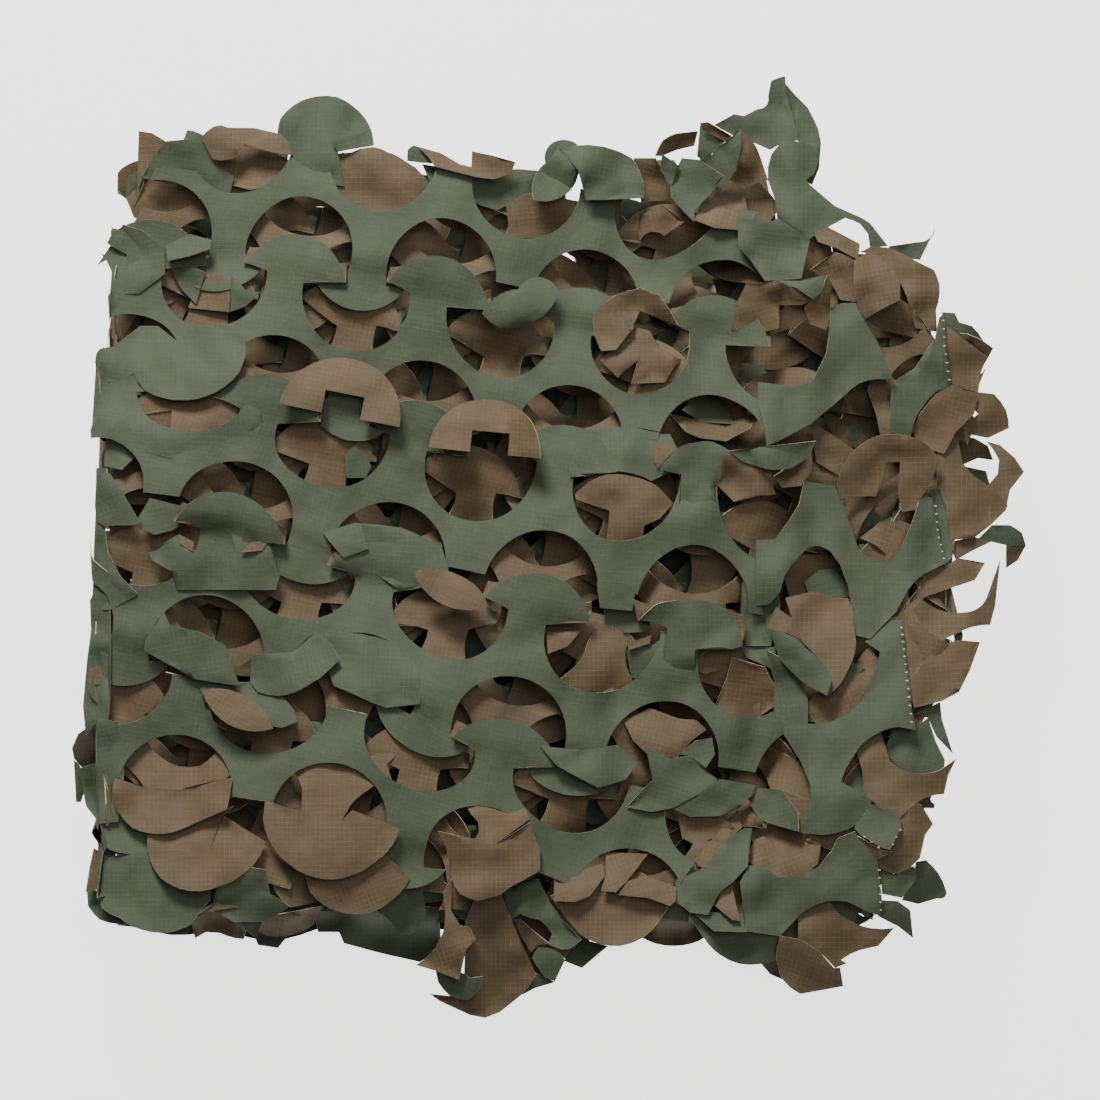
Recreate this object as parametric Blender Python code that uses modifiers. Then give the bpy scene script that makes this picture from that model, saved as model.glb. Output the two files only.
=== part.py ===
"""Camouflage net of incised cloth, folded back and forth into a flat pad.

One continuous strip is cut flat, then laid onto its fold path: eight layers, joined by folds that
lie at the left and the right in turn. The top layer has the net's mushroom-shaped flaps, each
hanging by a neck inside its own opening. Lower layers have the openings alone. Loose leaves stand
out past the edges of the layers. X runs to the right, Y to the back and Z up; units are metres.
"""

import math
from collections import namedtuple

import bmesh
import bpy
from mathutils.geometry import delaunay_2d_cdt

MM = 0.001

THICKNESS = 2 * MM
FOLD_STEPS = 5

# The die's repeat, as it lies in the opened net.
PITCH_ACROSS = 75 * MM
PITCH_DOWN = 71 * MM
LEAN = math.radians(-11)
LOBE_RADIUS = 28 * MM
ROUND_HOLE_RADIUS = 25.5 * MM
ROUND_HOLE_SIDES = 8
TOP_LATTICE_ORIGIN = (-80.6 * MM, 1.4 * MM)
SMILE_OFFSET = (31 * MM, -20 * MM)
FLAP_SLOPE = 0.16
EDGE_MARGIN = 7 * MM
ROWS_ACROSS_STRIP = 4.55
ROW_DRIFT = 14 * MM

# The bottom layer's underside is pressed flat where it comes within this of the ground.
PRESSED_FLAT = 0.05 * MM

# Swells of the whole heap, and the smaller ripple of each layer by itself.
SWELL_HEIGHT = 5 * MM
SWELL_LENGTH = 260 * MM
RIPPLE_HEIGHT = 0.8 * MM
RIPPLE_LENGTH = 130 * MM

# A row for each end of a layer, from the bottom layer's free end up to the top layer's.
# x is the crest of the fold, front and back are the cloth's two edges there, and rise is the
# step up to the next layer.
Turn = namedtuple("Turn", "x front back rise")
TURNS = [
    Turn(x=204, front=-188, back=142, rise=0),
    Turn(x=-222, front=-190, back=186, rise=13),
    Turn(x=214, front=-176, back=134, rise=12),
    Turn(x=-228, front=-180, back=194, rise=12),
    Turn(x=206, front=-184, back=150, rise=11),
    Turn(x=-224, front=-172, back=188, rise=10),
    Turn(x=216, front=-180, back=158, rise=9),
    Turn(x=-226, front=-176, back=200, rise=8),
    Turn(x=194, front=-178, back=150, rise=0),
]

# A row for each loose leaf. layer counts from 0 at the bottom, x and y are its root, heading is
# the way it points in degrees from +X, and lift is how far its tip stands above its layer.
Leaf = namedtuple("Leaf", "layer x y heading length width pointed lift")
LEAVES = [
    Leaf(layer=7, x=-112, y=182, heading=92, length=45, width=50, pointed=False, lift=6),
    Leaf(layer=7, x=-152, y=184, heading=98, length=28, width=38, pointed=False, lift=7),
    Leaf(layer=7, x=-45, y=172, heading=84, length=30, width=52, pointed=False, lift=4),
    Leaf(layer=7, x=24, y=162, heading=84, length=42, width=50, pointed=False, lift=5),
    Leaf(layer=7, x=78, y=152, heading=82, length=64, width=44, pointed=False, lift=8),
    Leaf(layer=7, x=110, y=146, heading=89, length=92, width=42, pointed=True, lift=8),
    Leaf(layer=7, x=160, y=128, heading=40, length=46, width=36, pointed=True, lift=6),
    Leaf(layer=7, x=182, y=98, heading=14, length=38, width=38, pointed=False, lift=4),
    Leaf(layer=7, x=182, y=44, heading=6, length=48, width=46, pointed=False, lift=3),
    Leaf(layer=7, x=182, y=-52, heading=-8, length=36, width=44, pointed=False, lift=2),
    Leaf(layer=7, x=180, y=-130, heading=-30, length=26, width=34, pointed=True, lift=0),
    Leaf(layer=7, x=94, y=-164, heading=-84, length=40, width=50, pointed=False, lift=-2),
    Leaf(layer=7, x=34, y=-162, heading=-88, length=35, width=62, pointed=False, lift=-1),
    Leaf(layer=7, x=-28, y=-162, heading=-94, length=30, width=52, pointed=False, lift=0),
    Leaf(layer=6, x=150, y=-166, heading=-62, length=34, width=38, pointed=True, lift=-1),
    Leaf(layer=6, x=-178, y=-160, heading=-90, length=30, width=60, pointed=False, lift=-1),
    Leaf(layer=5, x=-46, y=-164, heading=-86, length=50, width=42, pointed=False, lift=-1),
    Leaf(layer=5, x=-198, y=176, heading=86, length=32, width=24, pointed=True, lift=1),
    Leaf(layer=4, x=-90, y=-164, heading=-92, length=28, width=38, pointed=False, lift=0),
    Leaf(layer=4, x=126, y=-170, heading=-72, length=50, width=40, pointed=False, lift=-1),
    Leaf(layer=3, x=-150, y=-166, heading=-90, length=26, width=52, pointed=False, lift=0),
    Leaf(layer=2, x=-32, y=-166, heading=-92, length=68, width=46, pointed=False, lift=-1),
    Leaf(layer=1, x=92, y=-166, heading=-88, length=38, width=48, pointed=False, lift=0),
    Leaf(layer=0, x=190, y=86, heading=8, length=34, width=42, pointed=False, lift=3),
    Leaf(layer=0, x=190, y=-50, heading=-12, length=36, width=44, pointed=True, lift=3),
]

# Leaves that a fold lets go: they keep on straight where the cloth round them turns back.
FOLD_LEAVES = [
    Leaf(layer=1, x=196, y=72, heading=10, length=38, width=42, pointed=True, lift=2),
    Leaf(layer=3, x=190, y=-62, heading=-14, length=38, width=42, pointed=False, lift=1),
    Leaf(layer=5, x=198, y=8, heading=-4, length=41, width=38, pointed=True, lift=2),
    Leaf(layer=5, x=200, y=-92, heading=-20, length=22, width=32, pointed=True, lift=1),
    Leaf(layer=4, x=-208, y=-104, heading=184, length=30, width=36, pointed=False, lift=1),
    Leaf(layer=2, x=-210, y=60, heading=176, length=22, width=30, pointed=True, lift=1),
]
FOLD_LEAF_GAP = 3 * MM

CLOTH_COLOUR = (0.078, 0.106, 0.066, 1)
CLOTH_ROUGHNESS = 0.85


class FoldPath:
    """The way the flat strip lies: u runs along the strip in metres, v across it from 0 to 1."""

    def __init__(self, turns):
        self.turns = [Turn(*(value * MM for value in turn)) for turn in turns]
        self.count = len(turns) - 1
        self.heights = [THICKNESS / 2]
        for turn in self.turns[1:-1]:
            self.heights.append(self.heights[-1] + turn.rise)
        self.panels = []
        along = 0
        for layer in range(self.count):
            start, end = self.turns[layer], self.turns[layer + 1]
            way = math.copysign(1, end.x - start.x)
            begin = start.x + way * start.rise / 2
            length = abs(end.x - way * end.rise / 2 - begin)
            self.panels.append((along, along + length, begin, way))
            along += length + math.pi * end.rise / 2
        self.length = along

    def layer_at(self, u):
        """The layer whose panel holds u, or None where u is on a fold."""
        if u <= self.panels[0][1]:
            return 0
        for layer, (first, last, _, _) in enumerate(self.panels):
            if first <= u <= last:
                return layer
        return self.count - 1 if u > self.panels[-1][0] else None

    def edges_at(self, layer, x):
        """Front and back edge of a layer at x."""
        start, end = self.turns[layer], self.turns[layer + 1]
        share = (x - start.x) / (end.x - start.x)
        front = start.front + share * (end.front - start.front)
        back = start.back + share * (end.back - start.back)
        return front, back

    def flat(self, layer, x, y):
        """Where the point of a layer at x, y lies on the strip."""
        first, _, begin, way = self.panels[layer]
        front, back = self.edges_at(layer, x)
        return first + way * (x - begin), (y - front) / (back - front)

    def on_layer(self, layer, u, v):
        first, _, begin, way = self.panels[layer]
        x = begin + way * (u - first)
        front, back = self.edges_at(layer, x)
        y = front + v * (back - front)
        return x, y, self.heights[layer] + self.heap(layer, x, y)

    def on_fold(self, u, v):
        upper = next(k for k in range(1, self.count) if u < self.panels[k][0])
        turn = self.turns[upper]
        radius = turn.rise / 2
        way = self.panels[upper - 1][3]
        angle = (u - self.panels[upper - 1][1]) / radius
        x = turn.x - way * radius * (1 - math.sin(angle))
        layer = upper - 1 if angle < math.pi / 2 else upper
        front, back = self.edges_at(layer, x)
        y = front + v * (back - front)
        share = (1 - math.cos(angle)) / 2
        below, above = (self.heap(k, x, y) for k in (upper - 1, upper))
        return x, y, self.heights[upper - 1] + share * turn.rise + below + share * (above - below)

    def heap(self, layer, x, y):
        """How far the heap's swells and a layer's own ripple lift it at x, y."""
        if layer == 0:
            return 0
        share = (self.heights[layer] - self.heights[0]) / (self.heights[-1] - self.heights[0])
        turn = math.tau / SWELL_LENGTH
        swell = math.sin(turn * x + 0.6) * math.cos(turn * y - 0.9) + 0.6 * math.sin(turn * (x - y))
        ripple_turn = math.tau / RIPPLE_LENGTH
        ripple = math.sin(ripple_turn * x + 1.7 * layer) * math.cos(ripple_turn * y + 2.3 * layer)
        return share * SWELL_HEIGHT * swell + RIPPLE_HEIGHT * ripple


def turned(points, angle, x, y):
    """Points turned by an angle and moved to x, y."""
    c, s = math.cos(angle), math.sin(angle)
    return [(x + c * a - s * b, y + s * a + c * b) for a, b in points]


def ring(radius, sides, start=0.0, sweep=math.tau):
    """Points along an arc. A full turn doesn't repeat its first point."""
    steps = sides if sweep == math.tau else sides - 1
    angles = [start + sweep * step / steps for step in range(sides)]
    return [(radius * math.cos(angle), radius * math.sin(angle)) for angle in angles]


def flap_opening():
    """An opening with a mushroom-shaped flap left standing in it, the neck at the bottom."""
    outer = ring(LOBE_RADIUS, 9, math.radians(210), math.radians(-240))
    dome = [(0.76 * x, 0.56 * y - 9 * MM) for x, y in ring(LOBE_RADIUS, 7, 0, math.pi)]
    neck_right = [(9 * MM, -15.5 * MM), (7.5 * MM, -10 * MM)]
    neck_left = [(-x, y) for x, y in reversed(neck_right)]
    return outer + neck_right + dome + neck_left


def smile_opening():
    """The lower half of the die's S: a crescent under a flap that hangs from above."""
    lower = ring(LOBE_RADIUS, 7, math.radians(190), math.radians(160))
    return lower + [(16 * MM, -3 * MM), (0, -8 * MM), (-16 * MM, -3 * MM)]


def lattice(origin, lean, columns, rows):
    """Centres of the die's repeats round an origin."""
    for row in rows:
        for column in columns:
            x, y = turned([(column * PITCH_ACROSS, -row * PITCH_DOWN)], lean, *origin)[0]
            yield x, y


def leaf_outline(leaf, margin=0.0):
    """A leaf's outline in its layer's plane, or with a margin the slit round all but its root."""
    length, half = leaf.length * MM + margin, leaf.width * MM / 2 + margin
    side = [(0, 0.62), (0.3, 1), (0.62, 0.86)] + ([] if leaf.pointed else [(0.9, 0.5)])
    right = [(max(length * a, margin), -half * b) for a, b in side]
    left = [(a, -b) for a, b in reversed(right)]
    points = right + [(length, 0)] + left
    return turned(points, math.radians(leaf.heading), leaf.x * MM, leaf.y * MM)


class Region:
    """A closed outline on the flat strip that can tell what lies inside it."""

    def __init__(self, path, layer, points):
        self.layer = layer
        self.points = [path.flat(layer, x, y) for x, y in points]
        us, vs = zip(*self.points)
        self.box = min(us), max(us), min(vs), max(vs)

    def holds(self, u, v):
        left, right, low, high = self.box
        if not (left < u < right and low < v < high):
            return False
        inside = False
        for (u1, v1), (u2, v2) in zip(self.points, self.points[1:] + self.points[:1]):
            if (v1 > v) != (v2 > v) and u < u1 + (v - v1) * (u2 - u1) / (v2 - v1):
                inside = not inside
        return inside


def scallop_at(path, layer, x, y):
    """A round bite out of an edge of a layer, or nothing where it would leave a thin strip."""
    low, high = sorted((path.turns[layer].x, path.turns[layer + 1].x))
    front, back = path.edges_at(layer, x)
    edge = min(y - front, back - y, x - low, high - x)
    if not -0.45 * ROUND_HOLE_RADIUS < edge < ROUND_HOLE_RADIUS - EDGE_MARGIN:
        return []
    return [Region(path, layer, turned(ring(ROUND_HOLE_RADIUS, 10, 0.2), LEAN, x, y))]


def top_openings(path):
    """The top layer's openings, and the centres of its flaps."""
    layer = path.count - 1
    fold, free = path.turns[-2].x, path.turns[-1].x
    found, flaps = [], []
    for x, y in lattice(TOP_LATTICE_ORIGIN, LEAN, range(-2, 4), range(-3, 4)):
        if x < fold + LOBE_RADIUS + EDGE_MARGIN:
            continue
        front, back = path.edges_at(layer, x)
        in_sheet = front + 0.7 * LOBE_RADIUS < y < back - LOBE_RADIUS - 0.5 * EDGE_MARGIN
        if in_sheet and x < free - LOBE_RADIUS - 0.5 * EDGE_MARGIN:
            found.append(Region(path, layer, turned(flap_opening(), LEAN, x, y)))
            flaps.append((x, y))
        else:
            found += scallop_at(path, layer, x, y)
        x, y = x + SMILE_OFFSET[0], y + SMILE_OFFSET[1]
        if front + LOBE_RADIUS + EDGE_MARGIN < y < back - 0.4 * LOBE_RADIUS and x < free - LOBE_RADIUS:
            found.append(Region(path, layer, turned(smile_opening(), LEAN, x, y)))
    return found, flaps


def lower_openings(path):
    """Round openings of the layers below, in rows along the strip with the first row on an edge."""
    found = []
    for layer in range(path.count - 1):
        lean = LEAN if layer % 2 else -LEAN
        low, high = sorted((path.turns[layer].x, path.turns[layer + 1].x))
        low, high = low + ROUND_HOLE_RADIUS + EDGE_MARGIN, high - ROUND_HOLE_RADIUS - EDGE_MARGIN
        for row in range(math.ceil(ROWS_ACROSS_STRIP)):
            share = row / ROWS_ACROSS_STRIP
            on_edge = row == 0
            x = low + (23 * MM * layer + ROW_DRIFT * row) % (0.6 * PITCH_ACROSS)
            while x < high:
                front, back = path.edges_at(layer, x)
                y = front + (back - front) * (share if layer % 2 else 1 - share)
                sides = ROUND_HOLE_SIDES + 1 if on_edge else ROUND_HOLE_SIDES
                outline = turned(ring(ROUND_HOLE_RADIUS, sides, math.pi / 8), lean, x, y)
                found.append(Region(path, layer, outline))
                x += PITCH_ACROSS
    return found


def cut_strip(path, openings, leaves, fold_leaves, fold_gaps):
    """The flat strip as triangles: its outline with the leaves, less what the die cuts away."""
    points, edges = [], []

    def add_loop(loop):
        first = len(points)
        points.extend(loop)
        count = len(loop)
        edges.extend((first + k, first + (k + 1) % count) for k in range(count))

    def add_line(u, steps):
        first = len(points)
        points.extend((u, step / steps) for step in range(steps + 1))
        edges.extend((first + k, first + k + 1) for k in range(steps))

    length = path.panels[-1][1]
    add_loop([(0, 0), (length, 0), (length, 1), (0, 1)])
    for (_, end, _, _), (start, _, _, _) in zip(path.panels, path.panels[1:]):
        for step in range(FOLD_STEPS + 1):
            add_line(end + (start - end) * step / FOLD_STEPS, 4)
    for region in openings + leaves + fold_leaves + fold_gaps:
        add_loop(region.points)

    verts, _, faces, _, _, _ = delaunay_2d_cdt(points, edges, [], 0, 1e-6)
    kept = []
    for face in faces:
        u = sum(verts[k][0] for k in face) / len(face)
        v = sum(verts[k][1] for k in face) / len(face)
        in_strip = 0 < u < length and 0 < v < 1
        cut = any(region.holds(u, v) for region in openings)
        let_go = any(region.holds(u, v) for region in fold_gaps)
        leaf = any(region.holds(u, v) for region in leaves)
        fold_leaf = any(region.holds(u, v) for region in fold_leaves)
        if fold_leaf or ((in_strip or leaf) and not cut and not let_go):
            kept.append(face)
    return verts, kept


def largest_island(mesh):
    """Drops every scrap that the cuts leave loose."""
    left = set(mesh.verts)
    islands = []
    while left:
        island, front = set(), [next(iter(left))]
        while front:
            vert = front.pop()
            if vert in island:
                continue
            island.add(vert)
            front.extend(edge.other_vert(vert) for edge in vert.link_edges)
        islands.append(island)
        left -= island
    keep = max(islands, key=len)
    bmesh.ops.delete(mesh, geom=[vert for vert in mesh.verts if vert not in keep], context="VERTS")


def leaf_lift(leaves, layer, x, y):
    """How far a leaf's own bend lifts the point of a layer at x, y."""
    for leaf in leaves:
        if leaf.layer != layer:
            continue
        heading = math.radians(leaf.heading)
        a, b = turned([(x - leaf.x * MM, y - leaf.y * MM)], -heading, 0, 0)[0]
        share = a / (leaf.length * MM)
        if share > 0 and abs(b) < leaf.width * MM / 2 + MM:
            return leaf.lift * MM * share * share
    return 0


def flap_lift(flaps, x, y):
    """How far a flap rises from its neck to its dome at x, y."""
    for centre in flaps:
        a, b = turned([(x - centre[0], y - centre[1])], -LEAN, 0, 0)[0]
        above_neck = b + 15 * MM
        if above_neck > 0 and math.hypot(a, b + 9 * MM) < 0.8 * LOBE_RADIUS:
            return FLAP_SLOPE * above_neck
    return 0


def fold_up(path, mesh, flaps):
    """Moves each point of the flat strip to where it lies in the folded net."""
    top = path.count - 1
    let_go = [Region(path, leaf.layer, leaf_outline(leaf, FOLD_LEAF_GAP / 2)) for leaf in FOLD_LEAVES]
    for vert in mesh.verts:
        u, v = vert.co.x, vert.co.y
        held = next((region.layer for region in let_go if region.holds(u, v)), None)
        layer = path.layer_at(u) if held is None else held
        if layer is None:
            vert.co = path.on_fold(u, v)
            continue
        x, y, z = path.on_layer(layer, u, v)
        z += leaf_lift(LEAVES if held is None else FOLD_LEAVES, layer, x, y)
        if layer == top:
            z += flap_lift(flaps, x, y)
        vert.co = (x, y, z)


def centre(mesh):
    """Puts the middle of the pad's outline over the origin."""
    for axis in (0, 1):
        values = [vert.co[axis] for vert in mesh.verts]
        middle = (min(values) + max(values)) / 2
        for vert in mesh.verts:
            vert.co[axis] -= middle


def cloth_material():
    material = bpy.data.materials.new("printed_ripstop")
    material.use_nodes = True
    shader = material.node_tree.nodes["Principled BSDF"]
    shader.inputs["Base Color"].default_value = CLOTH_COLOUR
    shader.inputs["Roughness"].default_value = CLOTH_ROUGHNESS
    shader.inputs["Metallic"].default_value = 0
    return material


def rest_flat(net):
    """Gives the sheet its thickness as a mesh, and presses the lowest points onto one plane."""
    graph = bpy.context.evaluated_depsgraph_get()
    data = bpy.data.meshes.new_from_object(net.evaluated_get(graph))
    net.modifiers.clear()
    net.data = data
    for vert in data.vertices:
        if vert.co.z < PRESSED_FLAT:
            vert.co.z = 0


def build_net(collection):
    path = FoldPath(TURNS)
    openings, flaps = top_openings(path)
    openings += lower_openings(path)
    leaves = [Region(path, leaf.layer, leaf_outline(leaf)) for leaf in LEAVES]
    fold_leaves = [Region(path, leaf.layer, leaf_outline(leaf)) for leaf in FOLD_LEAVES]
    fold_gaps = [Region(path, leaf.layer, leaf_outline(leaf, FOLD_LEAF_GAP)) for leaf in FOLD_LEAVES]
    verts, faces = cut_strip(path, openings, leaves, fold_leaves, fold_gaps)

    mesh = bmesh.new()
    corners = [mesh.verts.new((vert[0], vert[1], 0)) for vert in verts]
    for face in faces:
        mesh.faces.new([corners[k] for k in face])
    bmesh.ops.delete(mesh, geom=[vert for vert in mesh.verts if not vert.link_faces], context="VERTS")
    largest_island(mesh)
    fold_up(path, mesh, flaps)
    centre(mesh)
    bmesh.ops.remove_doubles(mesh, verts=mesh.verts, dist=0.0001)

    data = bpy.data.meshes.new("camouflage_net")
    mesh.to_mesh(data)
    mesh.free()
    data.materials.append(cloth_material())
    net = bpy.data.objects.new("camouflage_net", data)
    collection.objects.link(net)
    solid = net.modifiers.new("cloth thickness", "SOLIDIFY")
    solid.thickness = THICKNESS
    solid.offset = 0
    rest_flat(net)


def main():
    for obj in list(bpy.data.objects):
        bpy.data.objects.remove(obj)
    collection = bpy.data.collections.new("camouflage net")
    bpy.context.scene.collection.children.link(collection)
    build_net(collection)


main()
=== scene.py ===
# Camouflage net of die-cut ripstop, folded back and forth into a flat pad. Lengths are in metres.
import math
import random
from collections import namedtuple

import bpy
import numpy as np
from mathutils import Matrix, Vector
from mathutils.geometry import delaunay_2d_cdt


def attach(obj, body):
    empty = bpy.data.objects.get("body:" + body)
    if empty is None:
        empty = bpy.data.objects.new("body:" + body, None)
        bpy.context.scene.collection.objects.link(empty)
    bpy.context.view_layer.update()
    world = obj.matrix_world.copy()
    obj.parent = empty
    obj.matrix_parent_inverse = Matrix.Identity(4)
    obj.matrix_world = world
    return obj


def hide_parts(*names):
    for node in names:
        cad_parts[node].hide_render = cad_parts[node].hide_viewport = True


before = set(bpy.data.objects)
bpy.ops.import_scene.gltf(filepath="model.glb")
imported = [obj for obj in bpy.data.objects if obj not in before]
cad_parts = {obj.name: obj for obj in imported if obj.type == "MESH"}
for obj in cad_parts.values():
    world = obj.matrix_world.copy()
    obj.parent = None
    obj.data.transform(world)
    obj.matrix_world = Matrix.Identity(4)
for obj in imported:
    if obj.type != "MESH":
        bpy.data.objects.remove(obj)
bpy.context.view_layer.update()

mm = 0.001

# ---- camera, floor and light

view = dict(
    target=(-0.5 * mm, -2 * mm, 72 * mm),   # the middle of the pad's outline, near its top
    distance=1.7,
    elevation=83,
    frameWidth=0.55,      # what the frame takes in at the target
    sensor=36,
)


def toLinear(hexColour):
    parts = [int(hexColour[k:k + 2], 16) / 255 for k in (1, 3, 5)]
    return tuple(v / 12.92 if v <= 0.04045 else ((v + 0.055) / 1.055) ** 2.4 for v in parts) + (1.0,)


def addNode(tree, kind, settings=None, **inputs):
    # An input is a value, or another node's output socket to link from.
    node = tree.nodes.new(kind)
    for name, value in (settings or {}).items():
        setattr(node, name, value)
    for name, value in inputs.items():
        socket = node.inputs[int(name[1:])] if name[1:].isdigit() else node.inputs[name.replace("_", " ")]
        if isinstance(value, bpy.types.NodeSocket):
            tree.links.new(value, socket)
        else:
            socket.default_value = value
    return node


def newMaterial(name):
    material = bpy.data.materials.new(name)
    material.use_nodes = True
    material.node_tree.nodes.clear()
    return material, material.node_tree


def makeCamera():
    target = Vector(view["target"])
    rise = math.radians(view["elevation"])
    back = Vector((0, -math.cos(rise), math.sin(rise)))
    data = bpy.data.cameras.new("camera")
    data.sensor_width = view["sensor"]
    data.lens = view["sensor"] * view["distance"] / view["frameWidth"]
    camera = bpy.data.objects.new("camera", data)
    camera.location = target + back * view["distance"]
    camera.rotation_mode = "QUATERNION"
    camera.rotation_quaternion = (-back).to_track_quat("-Z", "Y")
    bpy.context.scene.collection.objects.link(camera)
    bpy.context.scene.camera = camera


paper = dict(
    size=14.0,
    colour="#f2f2f0",
    reflects=0.25,        # share of the colour that it reflects: the rest of its light is its own
    glow=2.5,
    roughness=0.9,
    # corners of the patch that the pad hides, from front left to back right
    underPad=[(-0.205, -0.16), (0.15, -0.155), (-0.205, 0.183), (0.15, 0.146)],
)


def makeFloor():
    # The paper is lit from below round the pad, so that shadows on it stay faint. Where the pad
    # hides it, in the middle one of nine patches, it is unlit.
    half, third = paper["size"] / 2, paper["size"] / 6
    points = [(x, y, 0) for y in (-half, -third, third, half) for x in (-half, -third, third, half)]
    for k, (x, y) in zip((5, 6, 9, 10), paper["underPad"]):
        points[k] = (x, y, 0)
    data = bpy.data.meshes.new("floor")
    data.from_pydata(points, [], [(k, k + 1, k + 5, k + 4) for k in (0, 1, 2, 4, 5, 6, 8, 9, 10)])
    data.polygons[4].material_index = 1
    colour = toLinear(paper["colour"])
    reflected = tuple(value * paper["reflects"] for value in colour[:3]) + (1.0,)
    for name, glow in (("matt studio paper, lit", paper["glow"]), ("matt studio paper", 0.0)):
        material, tree = newMaterial(name)
        shader = addNode(tree, "ShaderNodeBsdfPrincipled", Base_Color=reflected, Roughness=paper["roughness"],
                         Emission_Color=colour, Emission_Strength=glow)
        addNode(tree, "ShaderNodeOutputMaterial", Surface=shader.outputs[0])
        data.materials.append(material)
    floor = bpy.data.objects.new("floor", data)
    bpy.context.scene.collection.objects.link(floor)


softLights = [
    # place, size and power of each soft box; all of them face the pad
    dict(name="key", place=(-0.45, 1.5, 1.45), size=0.6, power=118),
    dict(name="top", place=(0.3, 0.3, 2.2), size=1.5, power=42),
    dict(name="front", place=(0.5, -1.5, 1.3), size=1.4, power=5),
]
studio = dict(colour=(1, 0.99, 0.97, 1), strength=0.02)


def makeLights():
    for lamp in softLights:
        data = bpy.data.lights.new(lamp["name"], "AREA")
        data.size = lamp["size"]
        data.energy = lamp["power"]
        light = bpy.data.objects.new(lamp["name"], data)
        light.location = lamp["place"]
        light.rotation_mode = "QUATERNION"
        light.rotation_quaternion = (-Vector(lamp["place"])).to_track_quat("-Z", "Y")
        bpy.context.scene.collection.objects.link(light)
    world = bpy.data.worlds.new("studio")
    world.use_nodes = True
    background = world.node_tree.nodes["Background"]
    background.inputs["Color"].default_value = studio["colour"]
    background.inputs["Strength"].default_value = studio["strength"]
    bpy.context.scene.world = world


makeCamera()
makeFloor()
makeLights()
print("camera, floor and lights are in place")

# ---- materials

# Ripstop is a thin plain weave with a thicker thread every few millimetres, printed green on one
# face and brown on the other. The thread shows as a faint raised grid, and the print as dull,
# slightly blotched colour.
ripstop = dict(
    gridPitch=2.4 * mm,
    threadWidth=0.15,       # of the pitch
    yarnPitch=0.9 * mm,     # the real yarn is finer and wouldn't show
    yarnRun=14,             # a streak's length in yarns
    blotch=34 * mm,
    crumple=11 * mm,
    speckle=(0.84, 1.14),   # how dark and how light single yarns are
    leastGrid=0.08,         # how much of the thread shows where the print is least worn
    weaveRise=0.35,         # the weave's height as a share of the thread's
    threadHeight=0.10 * mm,
    crumpleHeight=1.6 * mm,
    roughness=0.8,
    ior=1.5,
)
faces = [
    dict(name="green printed ripstop", colour="#2b341e", shade="#222a17", thread="#4b5535", gridShare=0.36),
    dict(name="brown printed ripstop", colour="#43331a", shade="#332711", thread="#77613f", gridShare=0.38),
]
cutYarn = dict(name="cut yarn edge", dark="#5f5a48", pale="#b9a88c", fray=420.0, roughness=0.85)


def ripstopMaterial(look):
    material, tree = newMaterial(look["name"])
    plan = addNode(tree, "ShaderNodeUVMap", dict(uv_map="clothPlan"))
    axes = addNode(tree, "ShaderNodeSeparateXYZ", Vector=plan.outputs[0])

    def maths(operation, *values):
        inputs = {f"_{k}": value for k, value in enumerate(values)}
        return addNode(tree, "ShaderNodeMath", dict(operation=operation), **inputs).outputs[0]

    def mixed(share, low, high):
        return addNode(tree, "ShaderNodeMix", dict(data_type="RGBA"), _0=share, _6=low, _7=high).outputs[2]

    def ranged(value, low, high, least, most, way="LINEAR"):
        return addNode(tree, "ShaderNodeMapRange", dict(interpolation_type=way), Value=value,
                       From_Min=low, From_Max=high, To_Min=least, To_Max=most).outputs[0]

    def gridLines(axis):
        part = maths("FRACT", maths("DIVIDE", axes.outputs[axis], ripstop["gridPitch"]))
        away = maths("ABSOLUTE", maths("SUBTRACT", part, 0.5))
        return ranged(away, 0, ripstop["threadWidth"] / 2, 1, 0, "SMOOTHSTEP")

    def yarn(across, along, detail=2):
        scaled = addNode(tree, "ShaderNodeVectorMath", dict(operation="MULTIPLY"),
                         _0=plan.outputs[0], _1=(1 / across, 1 / along, 1))
        return addNode(tree, "ShaderNodeTexNoise", dict(noise_dimensions="2D"),
                       Vector=scaled.outputs[0], Scale=1.0, Detail=detail).outputs[0]

    grid = maths("MAXIMUM", gridLines(0), gridLines(1))
    pitch, run = ripstop["yarnPitch"], ripstop["yarnRun"] * ripstop["yarnPitch"]
    weave = maths("ADD", yarn(run, pitch), yarn(pitch, run))
    blotch = yarn(ripstop["blotch"], ripstop["blotch"], 4)
    crumple = yarn(ripstop["crumple"], ripstop["crumple"], 3)

    tint = mixed(blotch, toLinear(look["shade"]), toLinear(look["colour"]))
    yarns = addNode(tree, "ShaderNodeVectorMath", dict(operation="SCALE"),
                    _0=tint, Scale=ranged(weave, 0.7, 1.3, *ripstop["speckle"]))
    worn = ranged(crumple, 0.35, 0.7, ripstop["leastGrid"], look["gridShare"])
    printed = mixed(maths("MULTIPLY", grid, worn), yarns.outputs[0], toLinear(look["thread"]))

    raised = maths("MULTIPLY_ADD", weave, ripstop["weaveRise"], grid)
    fine = addNode(tree, "ShaderNodeBump", Height=raised, Distance=ripstop["threadHeight"], Strength=0.55)
    soft = addNode(tree, "ShaderNodeBump", Height=crumple, Distance=ripstop["crumpleHeight"], Strength=0.4,
                   Normal=fine.outputs[0])
    shader = addNode(tree, "ShaderNodeBsdfPrincipled", Base_Color=printed, Normal=soft.outputs[0],
                     Roughness=ripstop["roughness"], IOR=ripstop["ior"])
    addNode(tree, "ShaderNodeOutputMaterial", Surface=shader.outputs[0])
    return material


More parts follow.
